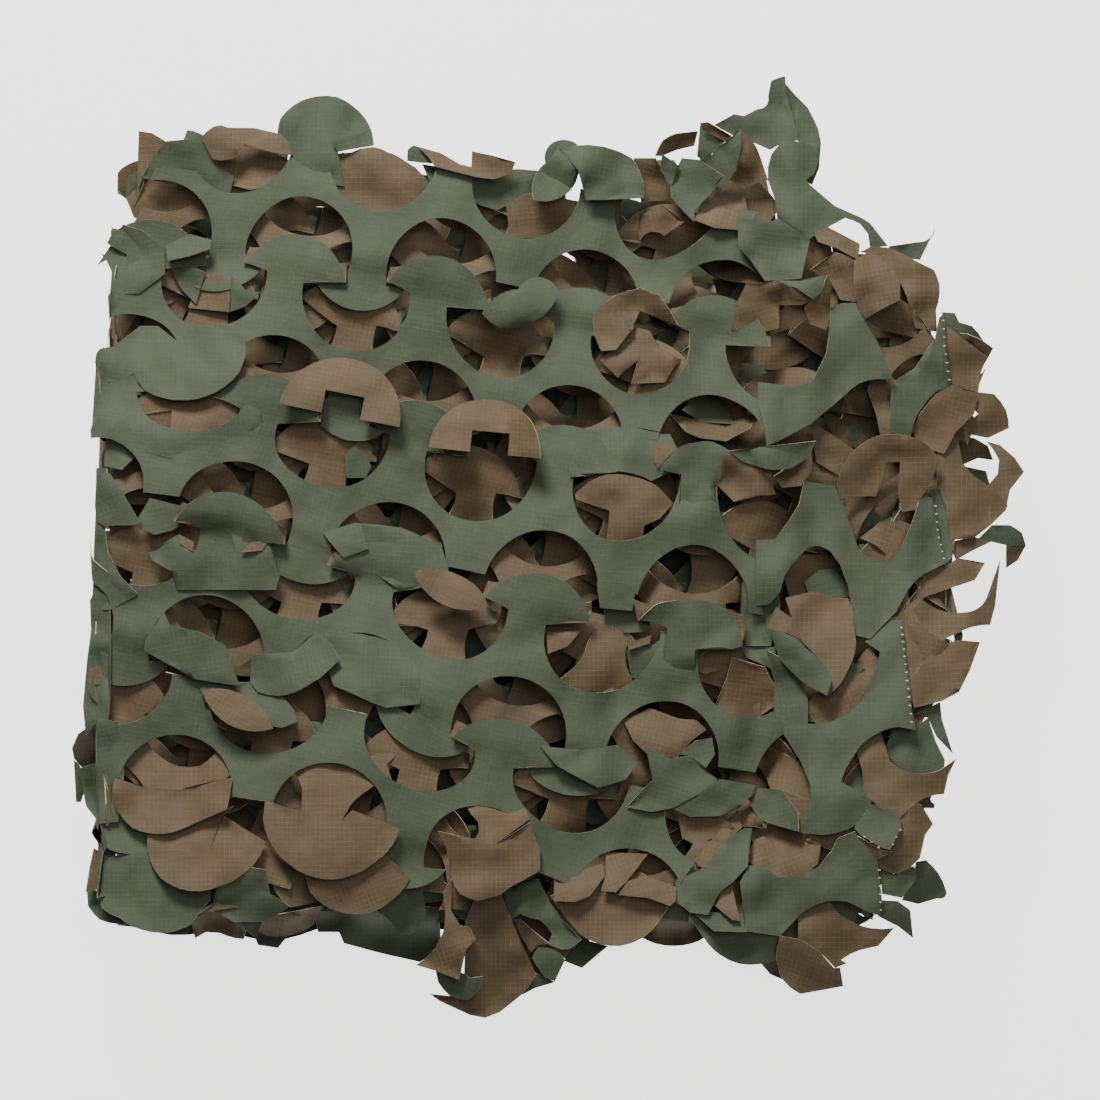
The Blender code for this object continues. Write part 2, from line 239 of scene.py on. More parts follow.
def cutEdgeMaterial():
    # A hot die leaves the cut edge as a pale, slightly frayed line of bare yarn.
    material, tree = newMaterial(cutYarn["name"])
    plan = addNode(tree, "ShaderNodeUVMap", dict(uv_map="clothPlan"))
    noise = addNode(tree, "ShaderNodeTexNoise", dict(noise_dimensions="2D"),
                    Vector=plan.outputs[0], Scale=cutYarn["fray"])
    mix = addNode(tree, "ShaderNodeMix", dict(data_type="RGBA"), _0=noise.outputs[0],
                  _6=toLinear(cutYarn["dark"]), _7=toLinear(cutYarn["pale"]))
    shader = addNode(tree, "ShaderNodeBsdfPrincipled", Base_Color=mix.outputs[2],
                     Roughness=cutYarn["roughness"], IOR=ripstop["ior"])
    addNode(tree, "ShaderNodeOutputMaterial", Surface=shader.outputs[0])
    return material


greenFace, brownFace = (ripstopMaterial(look) for look in faces)
cutEdge = cutEdgeMaterial()
print("materials are made")

# ---- the fold path that the pad follows, the same as in its solid

Turn = namedtuple("Turn", "x front back rise")
turns = [
    Turn(x=204, front=-188, back=142, rise=0),
    Turn(x=-222, front=-190, back=186, rise=13),
    Turn(x=214, front=-176, back=134, rise=12),
    Turn(x=-228, front=-180, back=194, rise=12),
    Turn(x=206, front=-184, back=150, rise=11),
    Turn(x=-224, front=-172, back=188, rise=10),
    Turn(x=216, front=-180, back=158, rise=9),
    Turn(x=-226, front=-176, back=200, rise=8),
    Turn(x=194, front=-178, back=150, rise=0),
]
# How much further back than its folds each of the top two layers' cloth reaches along the middle.
overhang = {6: 13 * mm, 7: 25 * mm}
turns = [Turn(*(value * mm for value in turn)) for turn in turns]
layerCount = len(turns) - 1
top = layerCount - 1
heights = [1 * mm]
for turn in turns[1:-1]:
    heights.append(heights[-1] + turn.rise)
centring = (-0.5 * mm, -2.0 * mm)       # from the pad's own layout to the frame

# How the heap under the top layer swells: a low swell, one across it, and a ripple in each layer.
heap = dict(
    swellHeight=5 * mm, swellLength=260 * mm, swellPhases=(0.6, -0.9), crossSwell=0.6,
    rippleHeight=0.8 * mm, rippleLength=130 * mm, ripplePhases=(1.7, 2.3),
)


def heapShare(layer):
    # 0 at the bottom layer and 1 at the top one
    return (heights[layer] - heights[0]) / (heights[-1] - heights[0])


def heapLift(layer, x, y):
    if layer == 0:
        return 0 * x
    share = heapShare(layer)
    turn, (phaseX, phaseY) = math.tau / heap["swellLength"], heap["swellPhases"]
    swell = np.sin(turn * x + phaseX) * np.cos(turn * y + phaseY) + heap["crossSwell"] * np.sin(turn * (x - y))
    small, (phaseX, phaseY) = math.tau / heap["rippleLength"], heap["ripplePhases"]
    ripple = np.sin(small * x + phaseX * layer) * np.cos(small * y + phaseY * layer)
    return share * heap["swellHeight"] * swell + heap["rippleHeight"] * ripple


def edgesAt(layer, x):
    # The front and back edges between a layer's two folds.
    start, end = turns[layer], turns[layer + 1]
    share = (x - start.x) / (end.x - start.x)
    return start.front + share * (end.front - start.front), start.back + share * (end.back - start.back)


def smooth(value, low=0.0, high=1.0):
    t = np.clip((value - low) / (high - low), 0, 1)
    return t * t * (3 - 2 * t)


def inside(xs, ys, loop):
    # Even-odd test of many points against one closed outline.
    found = np.zeros(len(xs), bool)
    x2, y2 = loop[-1]
    for x1, y1 in loop:
        crosses = (y1 > ys) != (y2 > ys)
        if y1 != y2:
            found ^= crosses & (xs < x1 + (ys - y1) * (x2 - x1) / (y2 - y1))
        x2, y2 = x1, y1
    return found


# ---- the die's repeat: an S-shaped cut that leaves a flap standing and the next one hanging

die = dict(
    across=75.2 * mm,         # repeat along a row
    row=51 * mm,              # repeat down the cloth before it is pulled open
    gap=20.2 * mm,            # each row's travel when the net is pulled open
    lobe=28 * mm,             # radius of every flap
    hangStep=(33.9 * mm, 3 * mm),  # from a standing flap's centre to the hanging one's
    # arcs in degrees: along a row's upper edge are its standing flaps and the openings between
    # them, and along its lower edge the hanging flaps and the openings between those
    upperStand=(158, 17), upperHang=(178, 370),
    lowerStand=(201, -17), lowerHang=(197, 338),
    step=7,
    columns=range(-6, 7),
    firstRow=-6, lastRow=7, topLastRow=3,
)


def arc(x, y, start, end):
    count = max(2, round(abs(end - start) / die["step"])) + 1
    angles = [math.radians(start + (end - start) * k / (count - 1)) for k in range(count)]
    return [(x + die["lobe"] * math.cos(a), y + die["lobe"] * math.sin(a)) for a in angles]


def meander(row, edge):
    # The cut between two rows, left to right, in the flat cloth, as one row's upper or lower edge.
    points = []
    for column in die["columns"]:
        x, y = column * die["across"], -row * die["row"]
        hangX, hangY = x - die["across"] + die["hangStep"][0], y + die["hangStep"][1]
        points += arc(hangX, hangY, *die[edge + "Hang"])
        points += arc(x, y, *die[edge + "Stand"])
    return points


# ---- each layer's lattice, and how it lies

Hole = namedtuple("Hole", "column row x y")
# Centres of the top layer's standing openings, where the cloth's pull has shifted them.
topHoles = [
    Hole(0, 0, -198.0, 159.5), Hole(1, 0, -127.0, 151.5), Hole(2, 0, -55.5, 139.0), Hole(3, 0, 17.0, 124.0),
    Hole(4, 0, 82.5, 123.0), Hole(1, 1, -138.0, 78.0), Hole(2, 1, -63.0, 66.5), Hole(3, 1, 10.5, 54.5),
    Hole(4, 1, 80.5, 54.0), Hole(1, 2, -159.0, 21.0), Hole(2, 2, -81.5, -6.0), Hole(3, 2, -4.0, -23.0),
    Hole(4, 2, 73.0, -28.0), Hole(1, 3, -172.5, -50.0), Hole(2, 3, -92.5, -67.0), Hole(3, 3, -21.5, -96.5),
    Hole(4, 3, 56.5, -106.5), Hole(1, 4, -187.5, -119.0), Hole(2, 4, -109.0, -131.0),
    Hole(3, 4, -32.5, -152.5), Hole(4, 4, 37.0, -179.5),
]
pull = dict(reach=30 * mm, fade=130 * mm)


class Net:
    # One layer's cloth: its lattice's place, and which face is up.
    def __init__(self, layer, x, y, lean, mirror):
        self.layer, self.x, self.y, self.mirror = layer, x, y, mirror
        self.cos, self.sin = math.cos(math.radians(lean)), math.sin(math.radians(lean))
        self.pulls = []

    def pullTo(self, holes):
        # Shifts the cloth smoothly, so that each hole given comes to lie at its own x and y.
        for hole in holes:
            px, py = self.turned(hole.column * die["across"], -hole.row * (die["row"] + die["gap"]))
            self.pulls.append((px, py, hole.x * mm - px, hole.y * mm - py))

    def turned(self, p, q):
        p = p * self.mirror
        return self.x + self.cos * p - self.sin * q, self.y + self.sin * p + self.cos * q

    def shift(self, x, y):
        if not self.pulls:
            return 0 * x, 0 * y
        dx, dy, total = 0, 0, 1 / pull["fade"] ** 3
        for px, py, sx, sy in self.pulls:
            weight = ((x - px) ** 2 + (y - py) ** 2 + pull["reach"] ** 2) ** -1.5
            dx, dy, total = dx + weight * sx, dy + weight * sy, total + weight
        return dx / total, dy / total

    def place(self, p, q):
        x, y = self.turned(p, q)
        dx, dy = self.shift(x, y)
        return x + dx, y + dy

    def unplace(self, x, y):
        ux, uy = x, y
        for _ in range(5):
            dx, dy = self.shift(ux, uy)
            ux, uy = x - dx, y - dy
        ux, uy = ux - self.x, uy - self.y
        return (self.cos * ux + self.sin * uy) * self.mirror, self.cos * uy - self.sin * ux


# Where the top layer's even lattice ends on the right, from front to back, in mm.
latticeEnd = [
    (70, -158), (76, -146), (96, -126), (118, -112), (120, -92), (112, -60), (106, -36), (104, -8),
    (106, 60), (108, 84), (112, 122), (116, 150), (112, 163),
]
latticeFrom = dict(front=62 * mm, back=104 * mm)     # where that end starts on the layer's own edges
outlineSteps = 44
# The uneven edges' waves: what x is divided by, and the height.
frontWaves, backWaves = ((21 * mm, 3.5 * mm), (9 * mm, 2 * mm)), ((23 * mm, 3.5 * mm), (8 * mm, 2 * mm))
Limit = namedtuple("Limit", "side start end at slope about layers")
# The corners that were pulled inwards, in mm: from start to end along x, an edge stays inside the
# line that passes through (about, at).
limits = [
    Limit("back", -999, -190, 146, 2.2, -222, range(layerCount)),
    Limit("back", -999, -165, 198, 0, 0, [top]),
    Limit("back", 138, 999, 128, 0, 0, range(layerCount)),
    Limit("back", 192, 999, 112, -0.7, 192, range(layerCount)),
    Limit("front", 184, 999, -70, 3.2, 214, range(layerCount)),
]


def waved(x, waves, phases):
    # An uneven edge's distance from its even line.
    return sum(height * math.sin(x / length + phase) for (length, height), phase in zip(waves, phases))


def layerOutline(layer):
    # The layer's edges seen from above, with x run on to the crest of each fold.
    wander = random.Random(900 + layer)
    phases = [wander.uniform(0, math.tau) for _ in range(4)]
    left, right = developedEnds(layer)
    front, back = [], []
    for k in range(outlineSteps + 1):
        x = left + (right - left) * k / outlineSteps
        low, high = edgesAt(layer, x)
        low += waved(x, frontWaves, phases[:2])
        high += overhang[layer] if layer in overhang else waved(x, backWaves, phases[2:])
        for limit in limits:
            if layer in limit.layers and limit.start * mm < x < limit.end * mm:
                edge = limit.at * mm + limit.slope * (x - limit.about * mm)
                low, high = (low, min(high, edge)) if limit.side == "back" else (max(low, edge), high)
        front.append((x, low))
        back.append((x, high))
    loop = front + back[::-1]
    if layer == top:
        # the lattice ends here, and the pulled ribbons beyond it are laid one by one
        loop = [(x, y) for x, y in loop if x < latticeFrom["front" if y < 0 else "back"]]
        turned = next(k for k, (x, y) in enumerate(loop) if y > 0)
        loop[turned:turned] = [(x * mm, y * mm) for x, y in latticeEnd]
    return loop


def developedEnds(layer):
    # Where a layer ends along x once the quarter of each fold that it runs into is laid flat.
    ends = []
    for turn in (turns[layer], turns[layer + 1]):
        radius = turn.rise / 2
        way = math.copysign(1, turn.x)
        ends.append(turn.x + way * radius * (math.pi / 2 - 1))
    return min(ends), max(ends)


def wrapFolds(layer, x, w):
    # Bends what runs past a layer's end down or up round half of its fold.
    z = heights[layer] + w
    for turn, up in ((turns[layer], -1), (turns[layer + 1], 1)):
        radius = turn.rise / 2
        if not radius:
            continue
        way = math.copysign(1, turn.x)
        begin = turn.x - way * radius
        past = (x - begin) * way
        angle = np.clip(past / radius, 0, math.pi / 2)
        bent = past > 0
        x = np.where(bent, begin + way * (radius * np.sin(angle) + w * np.sin(angle)), x)
        z = np.where(bent, heights[layer] + up * radius * (1 - np.cos(angle)) + w * np.cos(angle), z)
    return x, z


# ---- how flaps lie

# In mm: each kind's neck from the flap's centre, how far wings are tucked under, the flap's length,
# how far from its centre cloth is cut as part of it, and how far, and how deep below the neck, it is
# moved with it.
flapShape = dict(
    standNeck=(-4.2, 6.0), hangNeck=(4.7, -1.0), tuck=9.5, length=28,
    cutWithin=29, movedWithin=30, movedBelow=4,
    hinge=9,            # the way over which a flap's move grows from its neck
    neckHalf=9,         # half the neck's width
    wingsFrom=12,       # where the wings that lift begin, to each side
)

# Degrees turned about the neck, rise just past it, slopes along and across the flap, the dome's
# sag, and how far the wings' tips lift, in mm.
FlapMove = namedtuple("FlapMove", "turn rise tilt side cup tip")
# The top layer's flaps that don't lie like the rest: those missing here are drawn at random.
topMoves = {
    ("stand", 1, 0): FlapMove(turn=-1, rise=0.8, tilt=0.02, side=0, cup=0.5, tip=0),
    ("stand", 2, 0): FlapMove(turn=-3, rise=1.2, tilt=0.04, side=0.03, cup=1.5, tip=0),
    ("stand", 1, 2): FlapMove(turn=4, rise=4.5, tilt=0.06, side=-0.05, cup=3, tip=0),
    ("stand", 1, 3): FlapMove(turn=-4, rise=1.2, tilt=0.05, side=-0.05, cup=1, tip=0),
    ("stand", 1, -1): FlapMove(turn=4, rise=3, tilt=-0.12, side=0.03, cup=2, tip=0),
    ("stand", 3, -1): FlapMove(turn=2, rise=4, tilt=0.1, side=0, cup=5, tip=-1),
    ("hang", 1, 0): FlapMove(turn=-3, rise=-3.2, tilt=0.04, side=0, cup=0, tip=0),
    ("hang", 0, 1): FlapMove(turn=2, rise=-0.6, tilt=0, side=0, cup=0, tip=0),
}
# The top layer's flaps that are cut off at the neck, and laid one by one further down or not shown,
# as (column, row) of the opening they belong to.
leftOut = dict(
    stand=[(0, -1), (1, -1), (2, -1), (3, -1), (4, -1), (4, 1), (4, 2), (1, 3), (2, 3), (4, 3),
           (1, 4), (2, 4), (3, 4), (4, 4)],
    hang=[(2, 0), (3, 0), (0, 1), (1, 1), (2, 1), (3, 1), (0, 2), (2, 2), (3, 2), (1, 3), (1, 4), (3, 4)],
)
for row in range(-2, 6):
    leftOut["stand"].append((5, row))
    leftOut["hang"] += [(4, row), (5, row)]


def isLeftOut(net, kind, column, row):
    return net.layer == top and (column, row) in leftOut[kind]


def flapMove(net, kind, row, column, rough):
    if net.layer == top and (kind, column, row) in topMoves:
        return topMoves[kind, column, row]
    draw = random.Random(7000 * net.layer + 131 * row + 17 * column + (5 if kind == "stand" else 0))
    spread = 1 + 2.2 * rough
    if kind == "stand":
        return FlapMove(
            turn=draw.gauss(0, 3.5 * spread), rise=draw.uniform(0.8, 1.6),
            tilt=abs(draw.gauss(0, 0.05 * spread)), side=draw.gauss(0, 0.04 * spread),
            cup=draw.uniform(-1, 2.2) * spread, tip=draw.uniform(0, 1.8) * spread,
        )
    return FlapMove(
        turn=draw.gauss(0, 3 * spread), rise=-draw.uniform(1.8, 3.4), tilt=draw.gauss(0, 0.04 * spread),
        side=draw.gauss(0, 0.03 * spread), cup=draw.uniform(-1, 0.8), tip=-draw.uniform(0, 0.8),
    )


def flapPlaces(row):
    # Each flap of a row: its kind, column, the hole row it shows in, and its centre in the flat cloth.
    stepX, stepY = die["hangStep"]
    for column in die["columns"]:
        x = column * die["across"]
        yield "stand", column, row, x, -row * die["row"]
        yield "hang", column, row + 1, x + stepX, -(row + 1) * die["row"] + stepY


def hingeOf(net, kind, row, centreX, centreY):
    # The middle of a flap's neck, where it lies in the pulled-open net.
    neckX, neckY = flapShape[kind + "Neck"]
    return net.place(centreX + neckX * mm, centreY + neckY * mm - die["gap"] * (row + 1))


def flapReach(kind, p, q, centreX, centreY):
    # How far points lie past a flap's neck line, in mm, and how far to the side of the neck.
    a, b = (p - centreX) / mm, (q - centreY) / mm
    neckX, neckY = flapShape[kind + "Neck"]
    out = b - neckY if kind == "stand" else neckY - b
    return out, a - neckX, np.hypot(a, b)


def layFlaps(net, row, p, q, x, y, w):
    # Moves the points of a row that lie in its standing and hanging flaps.
    for kind, column, holeRow, centreX, centreY in flapPlaces(row):
        out, across, away = flapReach(kind, p, q, centreX, centreY)
        reach = out + 0.5 * np.maximum(0, np.abs(across) - flapShape["neckHalf"])
        member = (away < flapShape["movedWithin"]) & (out > -flapShape["movedBelow"]) & (reach > 0)
        if not member.any():
            continue
        hingeX, hingeY = hingeOf(net, kind, row, centreX, centreY)
        rough = 0 if net.layer == top - 1 else float(smooth(hingeX, roughFrom, roughTo))
        move = flapMove(net, kind, holeRow, column, rough)
        t = np.where(member, smooth(reach, 0, flapShape["hinge"]), 0)
        angle = np.radians(move.turn) * t
        dx, dy = x - hingeX, y - hingeY
        c, s = np.cos(angle), np.sin(angle)
        x = np.where(member, hingeX + c * dx - s * dy, x)
        y = np.where(member, hingeY + s * dx + c * dy, y)
        lift = move.rise + move.tilt * out + move.side * across
        middle = (flapShape["length"] / 2) ** 2
        lift = lift + move.cup * (out * (flapShape["length"] - out) / middle)
        lift = lift + move.tip * np.maximum(0, np.abs(across) - flapShape["wingsFrom"]) ** 2 / middle
        w = w + np.where(member, t * lift * mm, 0)
    return x, y, w


Crease = namedtuple("Crease", "x1 y1 x2 y2 width height")
# The top layer's main creases in mm, each a soft trough, or a ridge where its height is positive.
creases = [
    Crease(2, 8, 28, 20, 5, -1.8), Crease(36, 42, 58, 30, 6, -2.0), Crease(62, 22, 84, 34, 5, -1.4),
    Crease(84, 42, 98, 60, 5, 1.6), Crease(60, -74, 78, -66, 5, -1.7), Crease(25, -84, 38, -70, 5, -1.2),
    Crease(-16, -48, 2, -40, 6, -1.6), Crease(-120, -92, -90, -84, 8, -1.3),
    Crease(-205, -30, -180, -22, 8, -1.3), Crease(-222, 62, -196, 58, 7, 1.2),
    Crease(-112, 104, -86, 112, 6, -1.4), Crease(-32, 92, -8, 84, 6, -1.6),
    Crease(-145, -8, -126, -22, 6, -1.2), Crease(-72, 38, -46, 26, 6, -1.5), Crease(30, 96, 48, 82, 5, 1.8),
    Crease(70, 96, 96, 84, 6, -2.0), Crease(44, 150, 60, 134, 6, -1.8), Crease(-12, 138, 4, 120, 6, -1.4),
    Crease(74, -40, 92, -28, 6, 1.6), Crease(-60, -100, -52, -124, 5, -1.5),
]


creaseRunOut = 0.15     # how far a crease runs on past its ends, as a share of its length
# Lengths and heights in mm of the low waves in every layer, and how they grow where it was pulled.
clothWaveSizes = ((90, 1.3), (58, 1.1), (36, 0.8), (23, 0.45))
calm, disturbed = 0.55, 0.9


def creased(x, y):
    lift = 0 * x
    for fold in creases:
        ax, ay, bx, by = fold.x1 * mm, fold.y1 * mm, fold.x2 * mm, fold.y2 * mm
        share = ((x - ax) * (bx - ax) + (y - ay) * (by - ay)) / ((bx - ax) ** 2 + (by - ay) ** 2)
        share = np.clip(share, -creaseRunOut, 1 + creaseRunOut)
        away = np.hypot(x - ax - share * (bx - ax), y - ay - share * (by - ay))
        lift = lift + fold.height * mm * np.exp(-(away / (fold.width * mm)) ** 2)
    return lift


def clothWaves(layer, x, y, rough):
    # The low waves that each layer's cloth keeps, stronger where it was pulled.
    draw = random.Random(40 + layer)
    lift = 0 * x
    for length, height in clothWaveSizes:
        for _ in range(2):
            heading, phase = draw.uniform(0, math.tau), draw.uniform(0, math.tau)
            along = (x * math.cos(heading) + y * math.sin(heading)) / (length * mm)
            lift = lift + height * mm * np.sin(math.tau * along + phase) * (calm + disturbed * rough)
    return lift + creased(x, y) if layer == top else lift


# ---- cutting the sheets

mesh = dict(
    grid=5.2 * mm,
    rowShare=0.866,         # of the grid, from one row of points to the next
    clear=2.2 * mm,         # from a cut to the nearest grid point
    margin=30 * mm,         # round a layer's outline
    smallest=7e-4,          # the least area that a loose island needs to stay, in square metres
    sliver=(8 * mm, 0.3 * mm),  # a longest side over the first with a height under the second
    stub=(3.5, 11),         # what stays of a flap that is left out: its neck, in mm
    hangTip=20 * mm,        # from a hanging flap's centre to where its tip has to be inside
    # in layer 6, under the top layer's back edge, standing flaps go where their necks lie in here
    hiddenAtBack=dict(layer=6, left=-175 * mm, right=20 * mm, front=165 * mm),
)


def triangleGrid(loop, edge, spanX, spanY, grid, clear):
    # Grid points inside a loop and clear of its edge.
    points = [np.zeros((0, 2))]
    for k, y in enumerate(np.arange(*spanY, grid * mesh["rowShare"])):
        x = np.arange(*spanX, grid) + (grid / 2 if k % 2 else 0)
        points.append(np.stack([x, np.full_like(x, y)], axis=1))
    points = np.concatenate(points)
    points = points[inside(points[:, 0], points[:, 1], loop)]
    far = np.ones(len(points), bool)
    for start in range(0, len(edge), 200):
        near = edge[start:start + 200]
        gaps = np.hypot(points[:, None, 0] - near[None, :, 0], points[:, None, 1] - near[None, :, 1])
        far &= gaps.min(axis=1) > clear
    return points[far]


def triangulated(loops, points):
    # Triangles inside the first loop, with the sides of every loop kept as edges.
    every, edges = [], []
    for loop in loops:
        first, count = len(every), len(loop)
        edges += [(first + k, first + (k + 1) % count) for k in range(count)]
        every += loop
    every += [tuple(point) for point in points]
    verts, _, faces, _, _, _ = delaunay_2d_cdt([Vector(point) for point in every], edges, [], 0, 1e-6)
    verts, faces = np.array([tuple(v) for v in verts]), np.array(faces)
    middle = verts[faces].mean(axis=1)
    keep = inside(middle[:, 0], middle[:, 1], loops[0])
    return verts, faces[keep], middle[keep]


def triangleSizes(corners):
    # Each triangle's area and longest side.
    sides = [np.hypot(*(corners[:, (k + 1) % 3] - corners[:, k]).T) for k in range(3)]
    spans = corners[:, 1:] - corners[:, :1]
    areas = abs(spans[:, 0, 0] * spans[:, 1, 1] - spans[:, 0, 1] * spans[:, 1, 0]) / 2
    return areas, np.max(sides, axis=0)


def islands(faces, count):
    # The lowest point that each point is joined to by triangles.
    parent = np.arange(count)
    changed = True
    while changed:
        lowest = parent[faces].min(axis=1)
        before = parent.copy()
        for k in range(3):
            np.minimum.at(parent, faces[:, k], lowest)
        parent = parent[parent]
        changed = bool((before != parent).any())
    return parent


def holds(outline, x, y):
    return inside(np.array([x]), np.array([y]), outline)[0]


def keptFlaps(net, row, outline, middle):
    # Flaps stay whole or go whole, by where their necks lie, and the rest is cut at the outline.
    p, q = net.unplace(middle[:, 0], middle[:, 1])
    q = q + die["gap"] * (row + 1)
    kept = inside(middle[:, 0], middle[:, 1], outline)
    for kind, column, holeRow, centreX, centreY in flapPlaces(row):
        out, across, away = flapReach(kind, p, q, centreX, centreY)
        member = (away < flapShape["cutWithin"]) & (out > 0)
        if not member.any():
            continue
        x, y = hingeOf(net, kind, row, centreX, centreY)
        whole = holds(outline, x, y)
        # a lower layer's hanging flap that would reach out past the front edge is cut off with it
        centre = net.place(centreX, centreY - die["gap"] * (row + 1))
        tip = centre[1] - mesh["hangTip"]
        if net.layer < top and kind == "hang" and not holds(outline, centre[0], tip):
            continue
        hidden = mesh["hiddenAtBack"]
        if net.layer == hidden["layer"] and kind == "stand":
            whole = whole and not (hidden["left"] < x < hidden["right"] and y > hidden["front"])
        if isLeftOut(net, kind, column, holeRow):
            whole = False
            member &= (out > mesh["stub"][0]) | (abs(across) > mesh["stub"][1])
        kept = np.where(member, whole, kept)
    return kept


def cutRow(net, row, outline):
    # The cloth between two of the die's cuts, inside the outline: points as they lie, and faces.
    loop = meander(row, "upper") + meander(row + 1, "lower")[::-1]
    p, q = (np.array(values) for values in zip(*loop))
    x, y = net.place(p, q - die["gap"] * (row + 1))
    box = np.array(outline)
    low, high = box.min(axis=0) - mesh["margin"], box.max(axis=0) + mesh["margin"]
    if y.max() < low[1] or y.min() > high[1]:
        return None
    loop = list(zip(x, y))
    edge = np.array(loop)
    edge = edge[(edge[:, 0] > low[0]) & (edge[:, 0] < high[0])]
    spanY = max(low[1], y.min()), min(high[1], y.max())
    points = triangleGrid(loop, edge, (low[0], high[0]), spanY, mesh["grid"], mesh["clear"])
    verts, faces, middle = triangulated([loop, list(outline)], points)
    kept = keptFlaps(net, row, outline, middle)
    areas, longest = triangleSizes(verts[faces])
    side, height = mesh["sliver"]
    kept &= ~((longest > side) & (areas < longest * height))
    faces, areas = faces[kept], areas[kept]
    if not len(faces):
        return None
    labels = islands(faces, len(verts))[faces[:, 0]]
    size = np.bincount(labels, weights=areas, minlength=len(verts))
    faces = faces[size[labels] > mesh["smallest"]]
    if not len(faces):
        return None
    used, faces = np.unique(faces, return_inverse=True)
    return verts[used], faces.reshape(-1, 3)


def trimmed(net, row, p, q):
    # Where a flap is left out, its neck ends on a straight line.
    q = q.copy()
    for kind, column, holeRow, centreX, centreY in flapPlaces(row):
        if isLeftOut(net, kind, column, holeRow):
            out, _, away = flapReach(kind, p, q, centreX, centreY)
            past = np.where((away < flapShape["movedWithin"]) & (out > 0), out, 0) * mm
            q += -past if kind == "stand" else past
    return q


# Where a standing flap's left and right wings turn under, in mm from its centre: the wing's ends
# along x, and the fold's height at each.
wings = [(-27.4, -13.0, 10.2, 9.0), (5.6, 27.4, 4.6, 8.4)]
# Its mesh, how much it narrows to its end, and how far in mm and how soon it drops under the cloth.
wingMesh = dict(across=6, along=5, narrowing=0.05, drop=1.3, dropRate=5)


def turnedWings(net, row, outline):
    # Below each standing flap the wings' lower ends are turned under, and show the other print.
    across, along = wingMesh["across"], wingMesh["along"]
    u, v = (values.ravel() for values in np.meshgrid(np.linspace(0, 1, across + 1), np.linspace(0, 1, along + 1)))
    index = np.arange((across + 1) * (along + 1)).reshape(along + 1, across + 1)
    q0, q1, q2, q3 = (part.ravel() for part in (index[:-1, :-1], index[:-1, 1:], index[1:, 1:], index[1:, :-1]))
    faces = np.concatenate([np.stack([q0, q1, q2], 1), np.stack([q0, q2, q3], 1)])
    drop = wingMesh["drop"] * np.sqrt(np.clip(v * wingMesh["dropRate"], 0, 1))
    for kind, column, holeRow, centreX, centreY in flapPlaces(row):
        if kind == "hang" or isLeftOut(net, kind, column, holeRow):
            continue
        if not holds(outline, *hingeOf(net, kind, row, centreX, centreY)):
            continue
        for left, right, foldLeft, foldRight in wings:
            a = (left + (right - left) * u) * (1 - wingMesh["narrowing"] * v)
            fold = foldLeft + (foldRight - foldLeft) * u
            b = fold + flapShape["tuck"] * v
            yield centreX + a * mm, centreY + b * mm, centreY + (2 * fold - b) * mm, drop * mm, faces


# How far each layer is disturbed, from the left, where it lies flat, to the right, where it was pulled.
roughFrom, roughTo = -40 * mm, 160 * mm


def laid(net, row, p, q, drop=0):
    # Cloth points as they lie in the heap.
    x, y = net.place(p, q - die["gap"] * (row + 1))
    w = clothWaves(net.layer, x, y, smooth(x, roughFrom, roughTo))
    x, y, w = layFlaps(net, row, p, q, x, y, w)
    return settled(net.layer, x, y, w - drop)


def netLayer(net):
    # The whole layer as points in space, faces, each point's place in the uncut cloth, and kinds.
    outline = layerOutline(net.layer)
    points, faces, plan, kinds, count = [], [], [], [], 0
    kind = 0 if net.mirror > 0 else 1

    def add(place, madeFaces, p, cloth, madeKind):
        nonlocal count
        points.append(place)
        faces.append(madeFaces + count)
        plan.append(np.stack([p, cloth], axis=1))
        kinds.append(np.full(len(madeFaces), madeKind))
        count += len(place)

    for row in range(die["firstRow"], die["topLastRow" if net.layer == top else "lastRow"] + 1):
        cut = cutRow(net, row, outline)
        if cut is None:
            continue
        flat, rowFaces = cut
        p, q = net.unplace(flat[:, 0], flat[:, 1])
        q = trimmed(net, row, p, q + die["gap"] * (row + 1))
        add(laid(net, row, p, q), rowFaces, p, q, kind)
        for p, q, under, drop, wingFaces in turnedWings(net, row, outline):
            turned = wingFaces[:, ::-1] if net.mirror < 0 else wingFaces
            add(laid(net, row, p, q, drop), turned, p, under, 1 - kind)
    return np.concatenate(points), np.concatenate(faces), np.concatenate(plan), np.concatenate(kinds)


Hollow = namedtuple("Hollow", "x y reach depth")
# Where the net bridges a hollow in the heap, in mm: the layers under the top one lie lower there.
hollows = [
    Hollow(92, 70, 17, 24), Hollow(10, 77, 15, 16), Hollow(106, 100, 18, 22), Hollow(-112, 174, 13, 14),
    Hollow(-48, 162, 13, 14), Hollow(24, 150, 15, 18), Hollow(86, 150, 16, 24), Hollow(52, 128, 12, 18),
    Hollow(150, 62, 18, 22), Hollow(130, 20, 16, 22), Hollow(-26, 98, 12, 12), Hollow(-40, 12, 12, 12),
    Hollow(36, -12, 13, 16), Hollow(112, -30, 16, 20), Hollow(-84, 84, 11, 10), Hollow(60, -86, 14, 18),
    Hollow(0, -62, 12, 14), Hollow(96, -104, 18, 22), Hollow(-52, -140, 12, 16), Hollow(-112, -116, 14, 12),
    Hollow(-170, -110, 14, 12), Hollow(20, -150, 14, 20), Hollow(-4, 36, 12, 12), Hollow(66, 50, 12, 16),
    Hollow(-200, 100, 11, 12), Hollow(60, -128, 14, 18),
]


